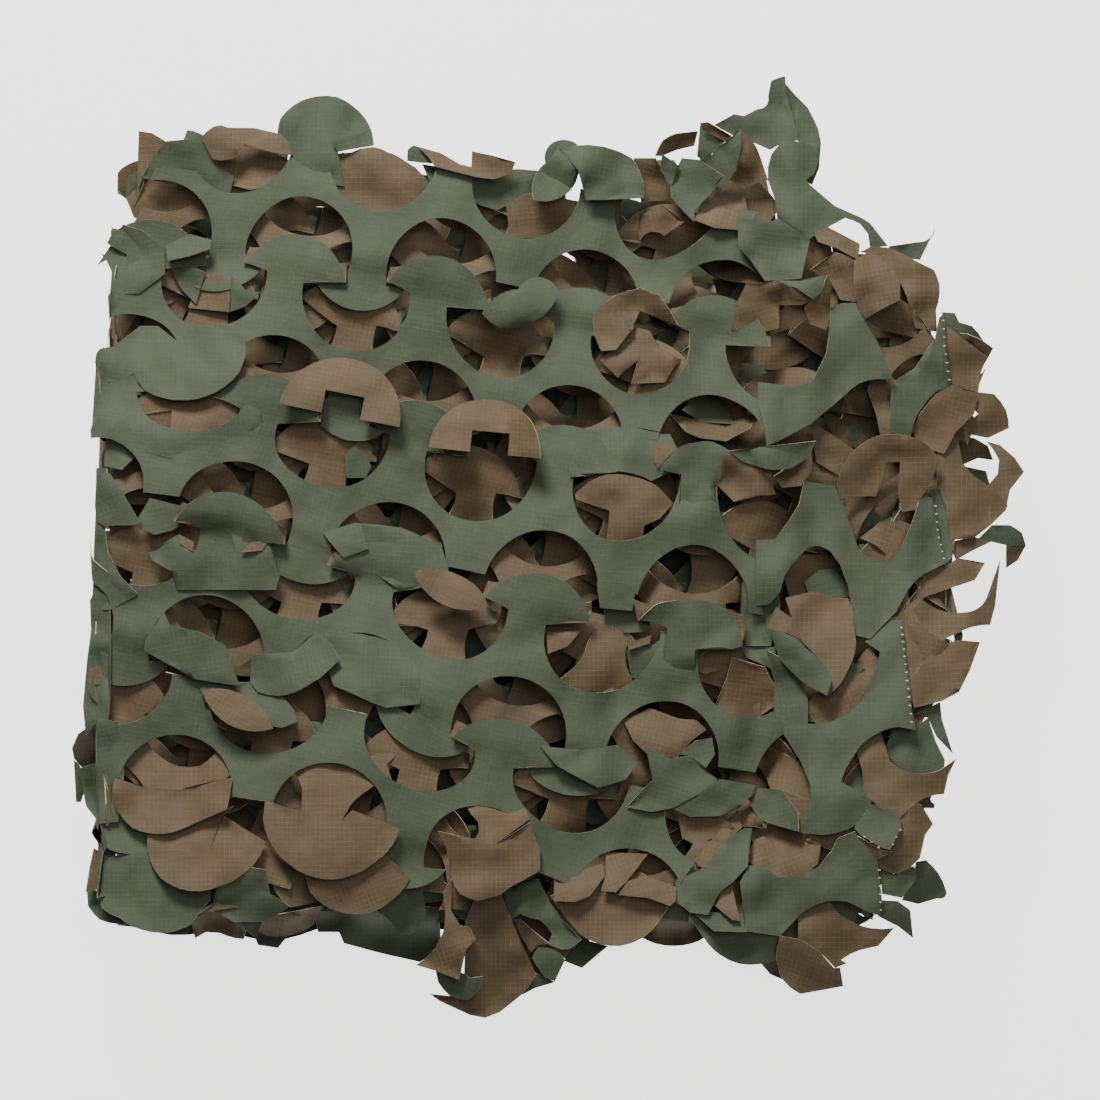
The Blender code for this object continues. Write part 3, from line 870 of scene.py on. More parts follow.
# How far the right-hand folds were pulled inwards, from front to back, and where the left-hand folds
# under the top layer stop, as seen from above. All in mm.
pulledIn = dict(
    y=[-200, -150, -90, -70, -48, -30, -14, 4, 20, 60, 110, 150],
    by=[30, 28, 26, 20, 9, 15, 18, 12, 6, 4, 8, 12],
    fromX=140, fullX=212,
    leftY=[-190, -175, -165, -145, -133, -125, -95, -85, -75, -25, -18, 40, 55, 85, 105, 115, 145],
    left=[-226, -232, -229.5, -227.5, -228, -237, -238, -233, -232, -229.5, -226.5, -226.5, -225.5,
          -227, -226, -224, -219],
)
lowest = -0.6 * mm      # for the bottom layer's cloth, from its own height


def settled(layer, x, y, w):
    # Lays cloth at x, y and its own height w into the heap.
    lift = w + heapLift(layer, x, y)
    if 0 < layer < top:
        for pit in hollows:
            away = np.hypot(x - pit.x * mm, y - pit.y * mm) / (pit.reach * mm)
            lift = lift - heapShare(layer) * pit.depth * mm * np.exp(-away ** 2)
    if layer == 0:
        lift = np.maximum(lift, lowest)
    x, z = wrapFolds(layer, x, lift)
    if layer < top:
        pulled = smooth(x, pulledIn["fromX"] * mm, pulledIn["fullX"] * mm)
        x = x - np.interp(y / mm, pulledIn["y"], pulledIn["by"]) * mm * pulled
        # cloth further from the camera may reach a little further out
        leftMost = np.interp(y / mm, pulledIn["leftY"], pulledIn["left"]) * mm
        x = np.maximum(x, leftMost * (1 + (view["target"][2] - z) / view["distance"]))
    return np.stack([x + centring[0], y + centring[1], z], axis=1)


cloth = dict(
    thickness=0.45 * mm,
    sharpFrom=50,           # degrees, so that only the cut edges are sharp
    flat=(0.37, 0.86),      # one layer's width, and two layers' length
    area=0.22,              # of cloth in two layers, without the openings
)


def clothPiece(name, parts):
    # parts are (points, faces, plan, kinds), kinds being 0 where the green print is up.
    points, plan, kinds = (np.concatenate([part[k] for part in parts]) for k in (0, 2, 3))
    firsts = np.cumsum([0] + [len(part[0]) for part in parts])
    faces = np.concatenate([part[1] + first for part, first in zip(parts, firsts)])
    piece = bpy.data.objects.new(name, thickened(name + "_sheet", points, faces, plan, kinds))
    bpy.context.scene.collection.objects.link(piece)
    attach(piece, "root")
    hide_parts("camouflage_net")
    return piece


def thickened(name, points, faces, plan, kinds):
    # The sheet with its thickness, the other print below and bare yarn at the cut.
    count = len(points)
    thin = bpy.data.meshes.new(name)
    thin.from_pydata(points.tolist(), [], faces.tolist())
    normals = np.empty(count * 3)
    thin.vertices.foreach_get("normal", normals)
    bpy.data.meshes.remove(thin)
    half = normals.reshape(-1, 3) * cloth["thickness"] / 2
    ends = np.concatenate([faces[:, [0, 1]], faces[:, [1, 2]], faces[:, [2, 0]]]).astype(np.int64)
    border = ends[~np.isin(ends[:, 0] * count + ends[:, 1], ends[:, 1] * count + ends[:, 0])]
    quads = np.stack([border[:, 1], border[:, 0], border[:, 0] + count, border[:, 1] + count], axis=1)
    every = faces.tolist() + (faces[:, ::-1] + count).tolist() + quads.tolist()
    below = np.where(kinds == 2, 2, 1 - kinds)
    data = bpy.data.meshes.new(name)
    data.from_pydata(np.concatenate([points + half, points - half]).tolist(), [], every)
    for material in (greenFace, brownFace, cutEdge):
        data.materials.append(material)
    slots = np.concatenate([kinds, below, np.full(len(quads), 2)]).astype(np.int32)
    data.polygons.foreach_set("material_index", slots)
    layer = data.uv_layers.new(name="clothPlan")
    loops = np.empty(len(data.loops), np.int32)
    data.loops.foreach_get("vertex_index", loops)
    layer.data.foreach_set("uv", plan[loops % count].astype(np.float32).ravel())
    data.shade_smooth()
    data.set_sharp_from_angle(angle=math.radians(cloth["sharpFrom"]))
    return data


# ---- flaps laid one by one

def bowed(corners, step=9):
    # An outline from corners (x, y, bulge), each bulge being how far the side to the next corner bows out.
    points = []
    for k, (x1, y1, bulge) in enumerate(corners):
        x2, y2, _ = corners[(k + 1) % len(corners)]
        points.append((x1, y1))
        chord = math.hypot(x2 - x1, y2 - y1)
        if abs(bulge) < 0.15 or chord < 1:
            continue        # as good as straight
        radius = (chord ** 2 / 4 + bulge ** 2) / (2 * abs(bulge))
        half = 2 * math.atan2(2 * abs(bulge), chord)
        count = max(2, round(math.degrees(2 * half) / step))
        midX, midY = (x1 + x2) / 2, (y1 + y2) / 2
        outX, outY = (y2 - y1) / chord, -(x2 - x1) / chord
        side = math.copysign(1, bulge)
        centreX = midX + outX * (bulge - side * radius)
        centreY = midY + outY * (bulge - side * radius)
        start = math.atan2(y1 - centreY, x1 - centreX)
        for n in range(1, count):
            angle = start + side * 2 * half * n / count
            points.append((centreX + radius * math.cos(angle), centreY + radius * math.sin(angle)))
    return points


# Outlines in mm, for a flap of 28 mm radius. They run anticlockwise.
flapShapes = {
    "horseshoe": [(-28, 0, 0), (-8.5, 0, 0), (-8.5, 10.5, 0), (9.5, 10.5, 0), (9.5, 0, 0), (28, 0, 28)],
    "star": [(0, 34, -9), (-30, -18, -9), (30, -18, -9)],
    "lens": [(-30, 0, 13), (30, 0, 13)],
    "leaf": [(-32, 0, 9), (8, -14, 3), (30, 4, 11), (0, 13, 5)],
}

Laid = namedtuple("Laid", "piece shape x y z heading size side folds lean", defaults=((), (0, 0)))
# x, y, z in mm; heading in degrees; size as a share of the outline's; side is the print that shows.
# Each fold (direction, start, radius, angle) wraps what lies past start round a cylinder, up if its
# angle is positive. lean is the slope along x and y.
laidFlaps = [
    # over the middle of the pad
    Laid(8, "horseshoe", -105, 66, 84, -11, 1.09, "brown", folds=((90, 8, 60, -25), (200, 16, 30, 14))),
    Laid(8, "horseshoe", -31, 47, 83, -6, 1.06, "brown", folds=((90, 6, 40, -35), (20, 8, 12, 40))),
    Laid(8, "lens", -49, -21, 85, -25, 0.68, "brown", folds=((90, 2, 8, -60),)),
    Laid(8, "lens", -154, -81, 85, -28, 0.66, "brown", folds=((90, 1, 9, -50),)),
    Laid(8, "leaf", -14, 122, 84, 12, 0.64, "green", folds=((-90, 3, 8, -60),)),
    # along the back edge
    Laid(8, "leaf", 4, 191, 79, 52, 0.62, "green", lean=(-0.3, -0.2)),
    # at the left fold
    Laid(7, "star", -219, 147, 68, 62, 0.4, "green"),
    Laid(7, "star", -223, 96, 66, 20, 0.36, "green"),
]
laidLook = dict(
    waves=((30, 0.7), (17, 0.35)),      # lengths and heights in mm
    grid=4.0, clear=1.8,                # the mesh's, in mm
    seedStep=0.013,                     # each flap takes its own part of the printed cloth
)


def wrapped(u, v, folds):
    # Folds act one after another on the flat outline, each along its own direction.
    x, y, z = u.copy(), v.copy(), 0 * u
    for direction, start, radius, angle in folds:
        c, s = math.cos(math.radians(direction)), math.sin(math.radians(direction))
        past = np.maximum(0, u * c + v * s - start)
        turn, side = math.radians(abs(angle)), math.copysign(1, angle)
        theta = np.minimum(past / radius, turn)
        rest = past - radius * theta
        along = np.where(rest > 0, radius * math.sin(turn) + rest * math.cos(turn), radius * np.sin(theta))
        rise = np.where(rest > 0, radius * (1 - math.cos(turn)) + rest * math.sin(turn), radius * (1 - np.cos(theta)))
        x, y, z = x + c * (along - past), y + s * (along - past), z + side * rise
    return x, y, z


def filled(loop):
    # A triangle mesh inside an outline, all in mm.
    spans = ((min(values), max(values)) for values in zip(*loop))
    points = triangleGrid(loop, np.array(loop), *spans, laidLook["grid"], laidLook["clear"])
    return triangulated([loop], points)[:2]


def softWaves(draw, u, v, waves):
    # Low waves on a flap, each in its own direction.
    lift = 0 * u
    for length, height in waves:
        heading, phase = draw.uniform(0, math.tau), draw.uniform(0, math.tau)
        along = (u * math.cos(heading) + v * math.sin(heading)) / length
        lift = lift + height * np.sin(math.tau * along + phase)
    return lift


def printKinds(side, faces):
    # The kind of every face, 0 where the green print is up and 1 where the brown one is.
    return np.full(len(faces), 0 if side == "green" else 1)


def laidMesh(spec, seed):
    loop = [(x * spec.size, y * spec.size) for x, y in bowed(flapShapes[spec.shape])]
    verts, faces = filled(loop)
    u, v = verts.T
    x, y, z = wrapped(u, v, spec.folds)
    z = z + softWaves(random.Random(seed), u, v, laidLook["waves"])
    c, s = math.cos(math.radians(spec.heading)), math.sin(math.radians(spec.heading))
    x, y = c * x - s * y, s * x + c * y
    z = z + spec.lean[0] * x + spec.lean[1] * y + spec.z
    x, y = (x + spec.x) * mm + centring[0], (y + spec.y) * mm + centring[1]
    plan = verts * mm + seed * laidLook["seedStep"]
    return np.stack([x, y, z * mm], axis=1), faces, plan, printKinds(spec.side, faces)


Ply = namedtuple("Ply", "piece side corners")
# Ribbons and flaps with their own outlines, for the pad's edges and the right side, where the net
# was pulled about.
# Corners are (x, y, up) or (x, y, up, bulge) in mm: up is the height above the top layer's cloth,
# and bulge how far the side to the next corner bows out, or 1 where it keeps the die's own arc.
plies = [
    # the back corner
    Ply(6, "brown", [(54, 195, -18), (62, 195, -18), (66, 189, -16), (76, 196, -16), (95, 203, -16), (103, 197, -16),
        (108, 186, -16), (113, 164, -18), (60, 158, -18), (46, 170, -18), (44, 186, -18)]),
    Ply(8, "green", [(-5, 190, 3), (4, 200.5, 5), (14, 191, 8), (9, 180, 3), (3, 177, 0), (-5, 179, 0)]),
    Ply(8, "green", [(4.5, 200.5, 4, 4), (41, 196, 2, 2), (47, 176, 6), (26, 175, 8), (18, 175, 8), (14, 190, 11)]),
    Ply(7, "brown", [(42, 196, -2), (53, 196, -2), (58, 185, -8), (61, 175, -8), (46, 174, -6), (41, 184, -6)]),
    Ply(8, "brown", [(52.5, 197, 0, 1), (56.5, 205, 4, 1), (63, 208.3, 6), (74, 209.5, 6), (72, 202, 0),
        (63, 200, -3), (56, 197, -2)]),
    Ply(8, "green", [(56, 198, 5), (64.5, 192, 6), (61, 182, 2), (55, 190, 1)]),
    Ply(8, "green", [(66, 196, 5), (75, 195, 8), (87, 187, 12), (81, 179, 7), (72.5, 170, 6), (72, 164, 5),
        (67, 169, 4), (60.5, 176, 2), (60, 185, 1)]),
    Ply(8, "green", [(77.5, 193, 3), (82.5, 200, 6), (95, 210, 13), (95.6, 203, 12), (93, 190, 8), (85, 178, 4),
        (80, 184, 3)]),
    Ply(8, "brown", [(95, 210.5, 12), (101, 205, 7, 1), (105, 197, 3), (109, 185, 1), (101, 183, 0), (92, 184.5, 0),
        (94.5, 196, 8)]),
    Ply(7, "green", [(75, 212.5, -4), (90, 206.5, 0), (83, 200, -4), (76.5, 194, -6), (73.5, 197, -5)]),
    Ply(8, "brown", [(75, 213.5, 2), (79, 214, 4), (91, 207, 3), (88, 204, -2), (76, 210.5, -1)]),
    Ply(7, "green", [(82, 212.5, -3), (92, 218, -2), (97, 217, -1), (104, 220.6, 0, -2), (109, 226.5, 1),
        (110.5, 234.5, 0, 1), (117.5, 237, -4), (118, 229, 1), (122, 214, 2), (124.5, 205, 0), (116, 203.5, 0),
        (110, 200, -4), (101, 204, -5), (92, 207, -4)]),
    Ply(7, "green", [(117.8, 233, -3), (122.5, 227.5, -2), (129, 221, -4), (134, 211, -5), (135.5, 203.5, -5),
        (134.5, 191, -6), (131, 182.5, -5), (127, 185, -3), (132, 195, -3), (131, 202, -2), (124, 204.5, -1),
        (121, 214, 0), (117.8, 228.8, 0)]),
    Ply(8, "green", [(109, 191, 0), (110.6, 197.5, 1, 1), (115, 203, 2, 1), (122.5, 204.5, 3, 1), (131, 202, 3, 1),
        (134, 195, 3, 1), (132, 188, 2), (128, 185, 1), (130, 182.5, 0), (142.5, 172, -1), (156, 166, -3),
        (160, 163.5, -4), (169, 152, -7), (160, 151, -7), (159, 158, -5), (155, 163, -4, -1), (147.5, 166, -2),
        (140, 162, -2), (132, 157, -2), (129, 155, -2), (113.8, 165, 0), (112.5, 175, 1), (109, 185, 1)]),
    Ply(8, "green", [(94, 166, 5), (110, 164, 6), (114, 166, 6), (130, 155, 4), (125.6, 135.5, 6), (107.5, 134.5, 5),
        (100, 145, 4), (94, 152, 5)]),
    Ply(6, "brown", [(97.5, 181, -12), (105, 184, -10), (112, 176, -14), (113, 164, -16), (100, 163, -16),
        (96, 170, -14)]),
    Ply(8, "brown", [(72, 165, 4), (82.5, 161, 6), (94, 160, 5), (100, 164, -2), (97, 180, -9), (88, 186, -10),
        (76, 174, -4)]),
    Ply(8, "brown", [(42, 167, -8), (45, 155, -4, -3), (57, 157, -3), (67, 164, -5), (55, 173, 2), (48.5, 169, 0)]),
    Ply(8, "brown", [(152.5, 145, 7), (159, 149, 5), (165, 147, 6), (170, 141, 8), (175, 134, 8), (175, 125, 8),
        (165, 120, 6), (157.5, 115.5, 4), (153.8, 121, 7), (152, 135, 11)]),
    Ply(8, "brown", [(155, 149, -3), (161, 152, -3), (170, 151, -2), (184, 144, -2), (192, 140, -5, 1),
        (194.8, 132.5, -6, 1), (193, 120, -7), (193.5, 109, -6), (182.5, 111, -3), (178, 127.5, 1), (175, 134, -2),
        (170, 141, -2), (165, 147, -3)]),
    Ply(7, "green", [(168, 150, -6), (170, 152, -5), (184, 154, -5, -2), (192.5, 160.5, -2), (185, 145, -7),
        (176, 146, -7)]),
    Ply(7, "brown", [(132, 158, -2), (138, 162, 0), (155, 153, -5), (154, 145, -2), (143, 151, 2), (134, 154, 0)]),
    Ply(7, "brown", [(130, 140, 0), (142.5, 149, -1), (153, 146, -3), (153, 124, -6), (145, 125, -6),
        (140, 135, -6)]),
    Ply(8, "brown", [(91, 110, 4), (93.5, 124, 9), (98, 133, 12), (112, 134.5, 13), (123, 131, 11), (131.5, 125.5, 7),
        (126, 122.5, 4), (114.5, 122.5, 4), (114.5, 111, 5), (103, 108, 3)]),
    Ply(8, "green", [(112, 134.8, 9), (125, 134.5, 10), (137, 137.5, 16), (138, 133, 13), (135, 128, 10),
        (131.5, 125.5, 8), (123, 131, 10)]),
    Ply(8, "brown", [(138.5, 137.5, 16), (140.5, 130, 11), (140, 121, 6), (138, 110, 3), (130, 113, 1), (127, 121, 3),
        (131.5, 125.5, 8), (135.5, 129, 12)]),
    Ply(5, "brown", [(132, 150, -18), (168, 146, -16), (188, 138, -16), (188, 108, -18), (150, 104, -20),
        (136, 120, -20)]),
    # the right side down to the middle
    Ply(8, "brown", [(21, 115.5, 3), (24, 121, 6), (34, 128, 10), (45, 131, 11), (55, 127, 8), (60, 120, 5),
        (63.8, 112.5, 3), (54, 116, 0), (45, 119.5, 4), (40, 109, 7), (33, 100, 5), (25.5, 99.5, 2), (22, 107.5, 2)]),
    Ply(8, "brown", [(42.5, 111.5, 2), (50, 109.5, 3), (55, 101, 2), (63, 96.5, 3), (69, 93.5, -4), (57.5, 83.8, -3),
        (40.5, 83, -4), (44, 95, 1), (34, 86, -2), (25, 95, -3), (32, 101, 0)]),
    Ply(7, "green", [(63, 94, -6), (64, 98, -5), (71, 103, -6), (73, 100, -7), (68, 93, -7)]),
    Ply(7, "brown", [(60, 68, -10), (68, 59, -8), (75, 56, -7), (88, 54.5, -7), (100, 61, -8), (105, 72, -12),
        (100, 70, -16), (88, 62, -15), (74, 65, -16)]),
    Ply(8, "green", [(104, 84, 3), (122.5, 81.5, 4), (131, 84, 5), (134.5, 91, 6), (138, 98, 7), (139.8, 110, 7),
        (140.5, 121, 4), (146, 123.5, 4), (153, 123.5, 4), (157, 115, 6), (162.5, 106, 6), (166, 99, 6),
        (169.5, 89, 5), (172.5, 85, 4), (164, 85.5, 5, -1), (155, 83.5, 6, -1), (147.5, 77.5, 6), (140, 71, 6),
        (130, 63, 5), (117.5, 56, 4), (108.5, 52, 3), (107, 62.5, 3), (104, 73, 3)]),
    Ply(7, "brown", [(157, 116, -4), (175, 125.5, -2), (182, 121, -3), (194, 103, -5), (181, 106.5, -8),
        (165, 110, -9)]),
    Ply(6, "green", [(176, 108, -16), (187, 104, -14), (190, 99, -15), (184, 92, -18), (176, 98, -20)]),
    Ply(6, "brown", [(166, 101, -22), (178, 98, -18), (188, 92, -18), (176, 84, -22), (168, 88, -24)]),
    Ply(8, "green", [(194.5, 116, -2), (197, 118.5, -3), (198, 100, -1), (200.5, 82, -2), (192.5, 79, 0, -1),
        (187, 72.5, 1, -1), (182, 63.8, 0), (180, 55, -1), (170, 55, -1), (170.5, 80, 1), (173, 85, 1),
        (182.5, 91, 1), (188, 99.5, 1), (192.5, 106, 0)]),
    Ply(7, "brown", [(197, 113, -6), (205, 107, -5), (219, 96, -8, -1), (215.5, 89, -10), (213.8, 77, -8),
        (200, 80, -4), (198, 100, -4)]),
    Ply(6, "green", [(196, 119, -8), (202.5, 118.5, -6), (204.5, 114, -7), (211, 112, -5, 1), (216.5, 105, -9),
        (207, 104, -9), (197, 108, -9)]),
    Ply(7, "brown", [(205, 108.5, -7), (209, 108, -3), (216, 105, -4), (221.5, 101, -8), (219, 96, -10),
        (210, 103, -9)]),
    Ply(7, "brown", [(181, 60, -3), (185.5, 69, 0), (193, 78, 1), (201, 82.5, 0), (214, 77, -3), (212, 68, -1),
        (203, 59, 0), (197, 48, -1), (184, 52, -3)]),
    Ply(7, "brown", [(201, 82, -5), (214, 79, -5), (222, 78, -7, 1), (228, 70, -9, 1), (229.5, 61, -12),
        (219, 56, -10), (203, 59, -5), (214, 68, -4)]),
    Ply(5, "brown", [(203, 57, -18), (212, 56, -15), (219, 52, -16), (221.5, 45, -20), (214, 46, -24),
        (205, 42, -22)]),
    Ply(6, "brown", [(218, 54.5, -12), (225, 52.5, -10), (232.5, 46, -12), (237, 39, -16), (230, 30, -12),
        (228, 20, -12), (220, 12, -10), (219.5, 33, -9), (223.8, 38, -10), (224.5, 45, -10), (221, 51, -12)]),
    Ply(5, "green", [(206, 42, -22), (218, 39.5, -22), (220, 32, -24), (214, 34, -26)]),
    Ply(7, "brown", [(158.5, 80, -5), (160, 85, -4), (172.5, 85.5, -4), (171, 65, -3), (170, 54, -3), (165.5, 56, -5),
        (163, 67.5, -4)]),
    Ply(6, "brown", [(139, 71, -16), (147, 80, -14), (159, 80, -12), (163, 66, -16), (146, 69, -20)]),
    Ply(6, "green", [(140, 66, -28), (160, 66, -26), (160, 50, -26), (144, 48, -28)]),
    Ply(7, "brown", [(130, 63, -4), (136, 61, -3), (152.5, 50, -3), (146, 36, -5), (133, 44, -5)]),
    Ply(7, "brown", [(112, 37, -4), (131, 50, 1), (131, 40, -2), (126, 32, -5), (116, 31, -6)]),
    Ply(7, "brown", [(83, 33, 1), (88, 48, 5, 1), (104, 43, 4), (110, 35, 2), (113, 28, 0), (92, 24, -1)]),
    Ply(8, "green", [(89, 49.5, 6), (105, 51.5, 8), (133, 54.5, 11), (129, 46, 9), (121, 41, 8, 1), (108, 40.5, 7),
        (97, 44, 6)]),
    Ply(8, "brown", [(145, 26.5, 3), (143.5, 33, 5, 1), (147, 43, 7, 1), (155, 52.5, 8, 1), (165, 57.5, 9),
        (175, 58, 9, 1), (184, 55.5, 8, 1), (195, 45, 6), (191, 35, 3), (186, 27, 1), (182.5, 20, 0), (176, 19, 0),
        (174, 28, 2), (175, 44, 4), (168, 44, 4), (166, 35, 3), (163, 27, 2)]),
    Ply(8, "green", [(103, 5, 0), (112.5, 5.5, 0), (119, 14, 1), (124.5, 23, 2), (127, 34.5, 2), (142.5, 32, 2),
        (146, 24, 1), (154, 1, 2), (158, -3, 2), (164, -6, 1), (170, -6, 1), (175, 0, 2), (180, 11, 3), (183, 20, 2),
        (185.5, 28, 1), (191, 26, 0), (195, 5, -1), (198, -6.5, -2), (187, -12, 0, -1), (179, -20, 1), (173, -31, 1),
        (160, -44.5, 0), (152, -42.5, 0), (151, -30, 1), (149, -17.5, 2), (145, -7.5, 3), (140, -0.5, 3),
        (135, 2, 3, -0.5), (129, 1, 3), (122.5, -5, 3), (117.5, -12.5, 2), (115, -21, 1), (110, -27, 0),
        (103, -28, 0)]),
    Ply(7, "brown", [(155, 6, -6), (165, 14, -2), (175, 14.5, -1), (183, 12, -3), (179, 0, -4), (172.5, -9, -5),
        (168, -7, -4), (168, -2, -3), (162.5, 2.5, -2)]),
    Ply(6, "brown", [(144, 26, -8), (166, 27, -8), (160, 16, -10), (152, 2, -14), (150, 10, -12)]),
    Ply(6, "green", [(153, 6, -12), (159, 23, -8), (167, 15, -10), (180, 20, -12), (184, 12, -14), (160, 0, -18)]),
    Ply(7, "green", [(190, 30, -4), (196, 30, -5), (199, 21, -5), (200, 7.5, -6), (201.5, -3, -6), (197, -8, -5),
        (192, 10, -4)]),
    Ply(7, "brown", [(192, 44, -2), (197, 58, -3), (204, 56, -5), (206, 44, -5, -1), (212, 37, -6), (221, 31, -8),
        (229, 22, -12), (221, 13, -11), (212, 6, -8), (200, 5, -6), (198, 21, -3), (194, 32, -2)]),
    Ply(6, "brown", [(199, 4, -8), (212, 6.5, -8), (221, 4.5, -12), (210, -1, -12), (203, -5, -10)]),
    Ply(6, "green", [(214, 5.5, -10), (221, 12.5, -8), (230, 12.5, -8, 1), (236, 8.5, -10), (238, 2.5, -14),
        (230, 2, -13), (221, 4, -12)]),
    Ply(6, "brown", [(228, 2.5, -13), (238, 2.5, -16), (234, -5, -19), (228, -9, -20)]),
    Ply(7, "brown", [(186, -24, -5), (202, -18.5, -6), (212.5, -15, -9), (217.5, -6.5, -12), (203.8, -4, -6),
        (198, -8, -4), (192, -9, -4), (184, -17, -4)]),
    Ply(6, "green", [(184, -25, -11), (200.5, -20, -12), (203, -32, -14), (190, -34, -12)]),
    Ply(7, "brown", [(166, -35, -2), (174, -33, -1), (185, -18, -1), (187, -24, -3), (176, -37, -3)]),
    Ply(7, "brown", [(174, -36, -3), (186, -25, -3, -1), (198, -31, -4, -1), (209, -31, -5, -2), (219, -22, -8),
        (225, -5, -14), (222.5, -28, -12), (220, -37.5, -10, -1), (204, -41.5, -6), (198, -44, -5), (190, -53, -4),
        (185, -63, -3), (179, -70, -3), (176, -55, -2)]),
    Ply(7, "brown", [(190, -53, -2), (196, -47.5, -1), (204, -45, -1), (215, -46, -6), (210, -60, -5),
        (204.5, -71, -6), (196, -75.5, -5), (182, -79, -3), (179, -68, -2), (185, -58, -2)]),
    # the right side below the middle
    Ply(8, "green", [(175.5, -35, 0), (177, -42.5, 0), (178, -55, 0), (180, -67.5, 0), (181, -80, -1), (183, -90, -1),
        (174.5, -88.5, 0, -0.5), (165, -91, 1, -0.5), (155, -98, 2), (148, -109, 2), (145.5, -116, 2),
        (157.5, -122, 1), (161, -126, 0), (155, -136, 0, 1), (145, -141, 0, 1), (136, -142.5, 1), (125, -141.5, 1),
        (130.5, -124, 2), (130, -117, 2), (125, -105, 1), (117, -92.5, 0), (117, -88, 0), (129, -87, 1),
        (139, -86.5, 1), (149, -82, 1), (156, -75, 1), (163, -60, 1), (165, -51, 0), (157.5, -46, -1),
        (167.5, -35.5, -1)]),
    Ply(8, "brown", [(117.5, -24, -3), (130, -21, -1), (135, -21, 0), (140, -24, 0), (149, -24, -2), (151.5, -30, 0),
        (153, -45, 3, 1), (149, -60, 4, 1), (139, -73, 5), (132, -66, 5), (135, -55, 3), (124, -44, 1),
        (121, -34, -1)]),
    Ply(8, "brown", [(108.5, -39, 2), (113, -28.5, 2), (121, -34, 1), (125.5, -45, 2), (115, -41, 3)]),
    Ply(8, "green", [(110, -40, 3), (115, -40.5, 4), (124, -44.5, 6), (134.5, -54.5, 8, 1), (141, -65, 8),
        (138.5, -73, 9), (125.5, -65.5, 6), (115, -55, 3)]),
    Ply(7, "green", [(127, -16, -9), (135, -10, -8), (146, -9, -9), (150, -23, -10), (140, -25, -9), (130, -23, -9)]),
    Ply(7, "brown", [(117, -14, -12), (125, -2, -11), (142, -3, -12), (148, -14, -14), (132, -20, -13),
        (120, -24, -12)]),
    Ply(7, "green", [(108, -50, -3), (114, -53, 1), (125.5, -65, 1), (129, -75, 0), (129, -89, 0), (117, -92, 0),
        (112, -80, -2), (112, -65, -3)]),
    Ply(7, "brown", [(127, -80, -4), (132, -72, -3), (140, -68, -3), (150, -62, -2), (156, -52, -3), (160, -48, -4),
        (165, -56, -5), (160, -68, -5), (150, -83, -5), (136, -90, -5)]),
    Ply(6, "green", [(146, -66, -4), (151, -56, -2), (157, -58, -3), (152, -68, -5)]),
    Ply(6, "green", [(183, -82, -8), (195, -76, -8), (196, -85, -10), (201.5, -102, -16), (193, -93, -12),
        (189, -84, -9)]),
    Ply(6, "green", [(172, -88, -8), (183, -88, -8), (189, -84, -9), (193, -96, -11), (197.5, -105, -13),
        (197, -109, -13, 1), (186, -112.5, -11, 1), (176, -110, -9, 1), (170, -104, -8), (168, -98, -8)]),
    Ply(7, "brown", [(153, -100, -3), (158, -93, -3), (165, -90, -4), (170, -105, -3, -1), (176, -110, -3, -1),
        (186, -112, -4, -1), (195, -110, -6), (203, -104.5, -11), (199, -112.5, -9), (197, -122, -9, -1),
        (187.5, -124, -6, -1), (181, -128, -4), (175, -134, -3), (165, -129, -2), (157, -122, -2), (156, -110, -3)]),
    Ply(6, "green", [(145, -117, -8), (150, -106, -8), (157, -104, -10), (159, -123, -9)]),
    Ply(8, "green", [(161, -127, 0), (175, -132.5, 1), (175.6, -139, 2), (170, -150, 4), (166, -149, 4),
        (155, -142.5, 2), (152, -139, 0)]),
    Ply(8, "brown", [(154, -143, 0), (165.6, -150, 2), (171, -151, 2), (163.8, -155, -2), (157.5, -149, -2)]),
    Ply(7, "brown", [(175, -134, -2), (182.5, -126, -3), (186, -127.8, -4), (191.5, -137, -8), (187.5, -142.5, -6),
        (185, -154, -7), (180, -159, -6, 1), (172.5, -162, -5, 1), (165, -159, -3), (163, -154, -3),
        (170.6, -149, -2), (175.6, -139, -2)]),
    Ply(8, "green", [(144, -144, -2), (152.5, -140.5, -1), (155, -145, -1), (163.5, -154, -1), (165, -165, -2),
        (166, -175, -3), (165, -183, -4), (157, -180, -2), (149, -176, -1, -1), (139, -175.5, 0, -1),
        (125, -182.5, 0), (115, -193, -1), (97.5, -190.5, 0), (96, -175, 1), (95, -166, 1), (99, -158, 0),
        (105, -157.5, 0), (114, -163.5, 0), (125, -162.5, 0), (134, -158.5, -1), (141, -150, -2)]),
    Ply(6, "green", [(165, -158, -6), (172, -162, -6), (182, -158, -8), (183, -165, -9), (176, -174, -8),
        (166, -172, -6)]),
    Ply(5, "green", [(183, -156, -12), (188, -155, -12, 1), (198, -170, -18, 2), (194, -174, -20), (184, -177, -18),
        (176, -175, -14), (181, -165, -12)]),
    Ply(6, "green", [(165, -175, -7), (173.8, -175.5, -8), (180, -180, -10), (181.5, -194, -16), (173.8, -188, -12),
        (164, -183, -8)]),
    Ply(6, "green", [(139, -173, -8), (157, -177, -9), (152, -185.5, -11), (143, -183, -10)]),
    Ply(7, "brown", [(124, -180, -3), (139, -174, -3), (143, -180.5, -4, -0.5), (151, -185.6, -5, -0.5),
        (160, -189, -7, -0.5), (172, -189, -12), (164, -198, -10), (155, -200, -9, -1), (145.6, -205, -9),
        (148.5, -206.6, -11), (142.5, -209, -10), (135, -201, -5), (124, -194, -3)]),
    Ply(5, "green", [(113, -193, -10), (125, -182, -10), (126, -196, -12)]),
    Ply(8, "brown", [(115, -193, -1), (125, -194.6, 0), (135, -201, -2), (142, -209, -5), (145, -208.8, -6),
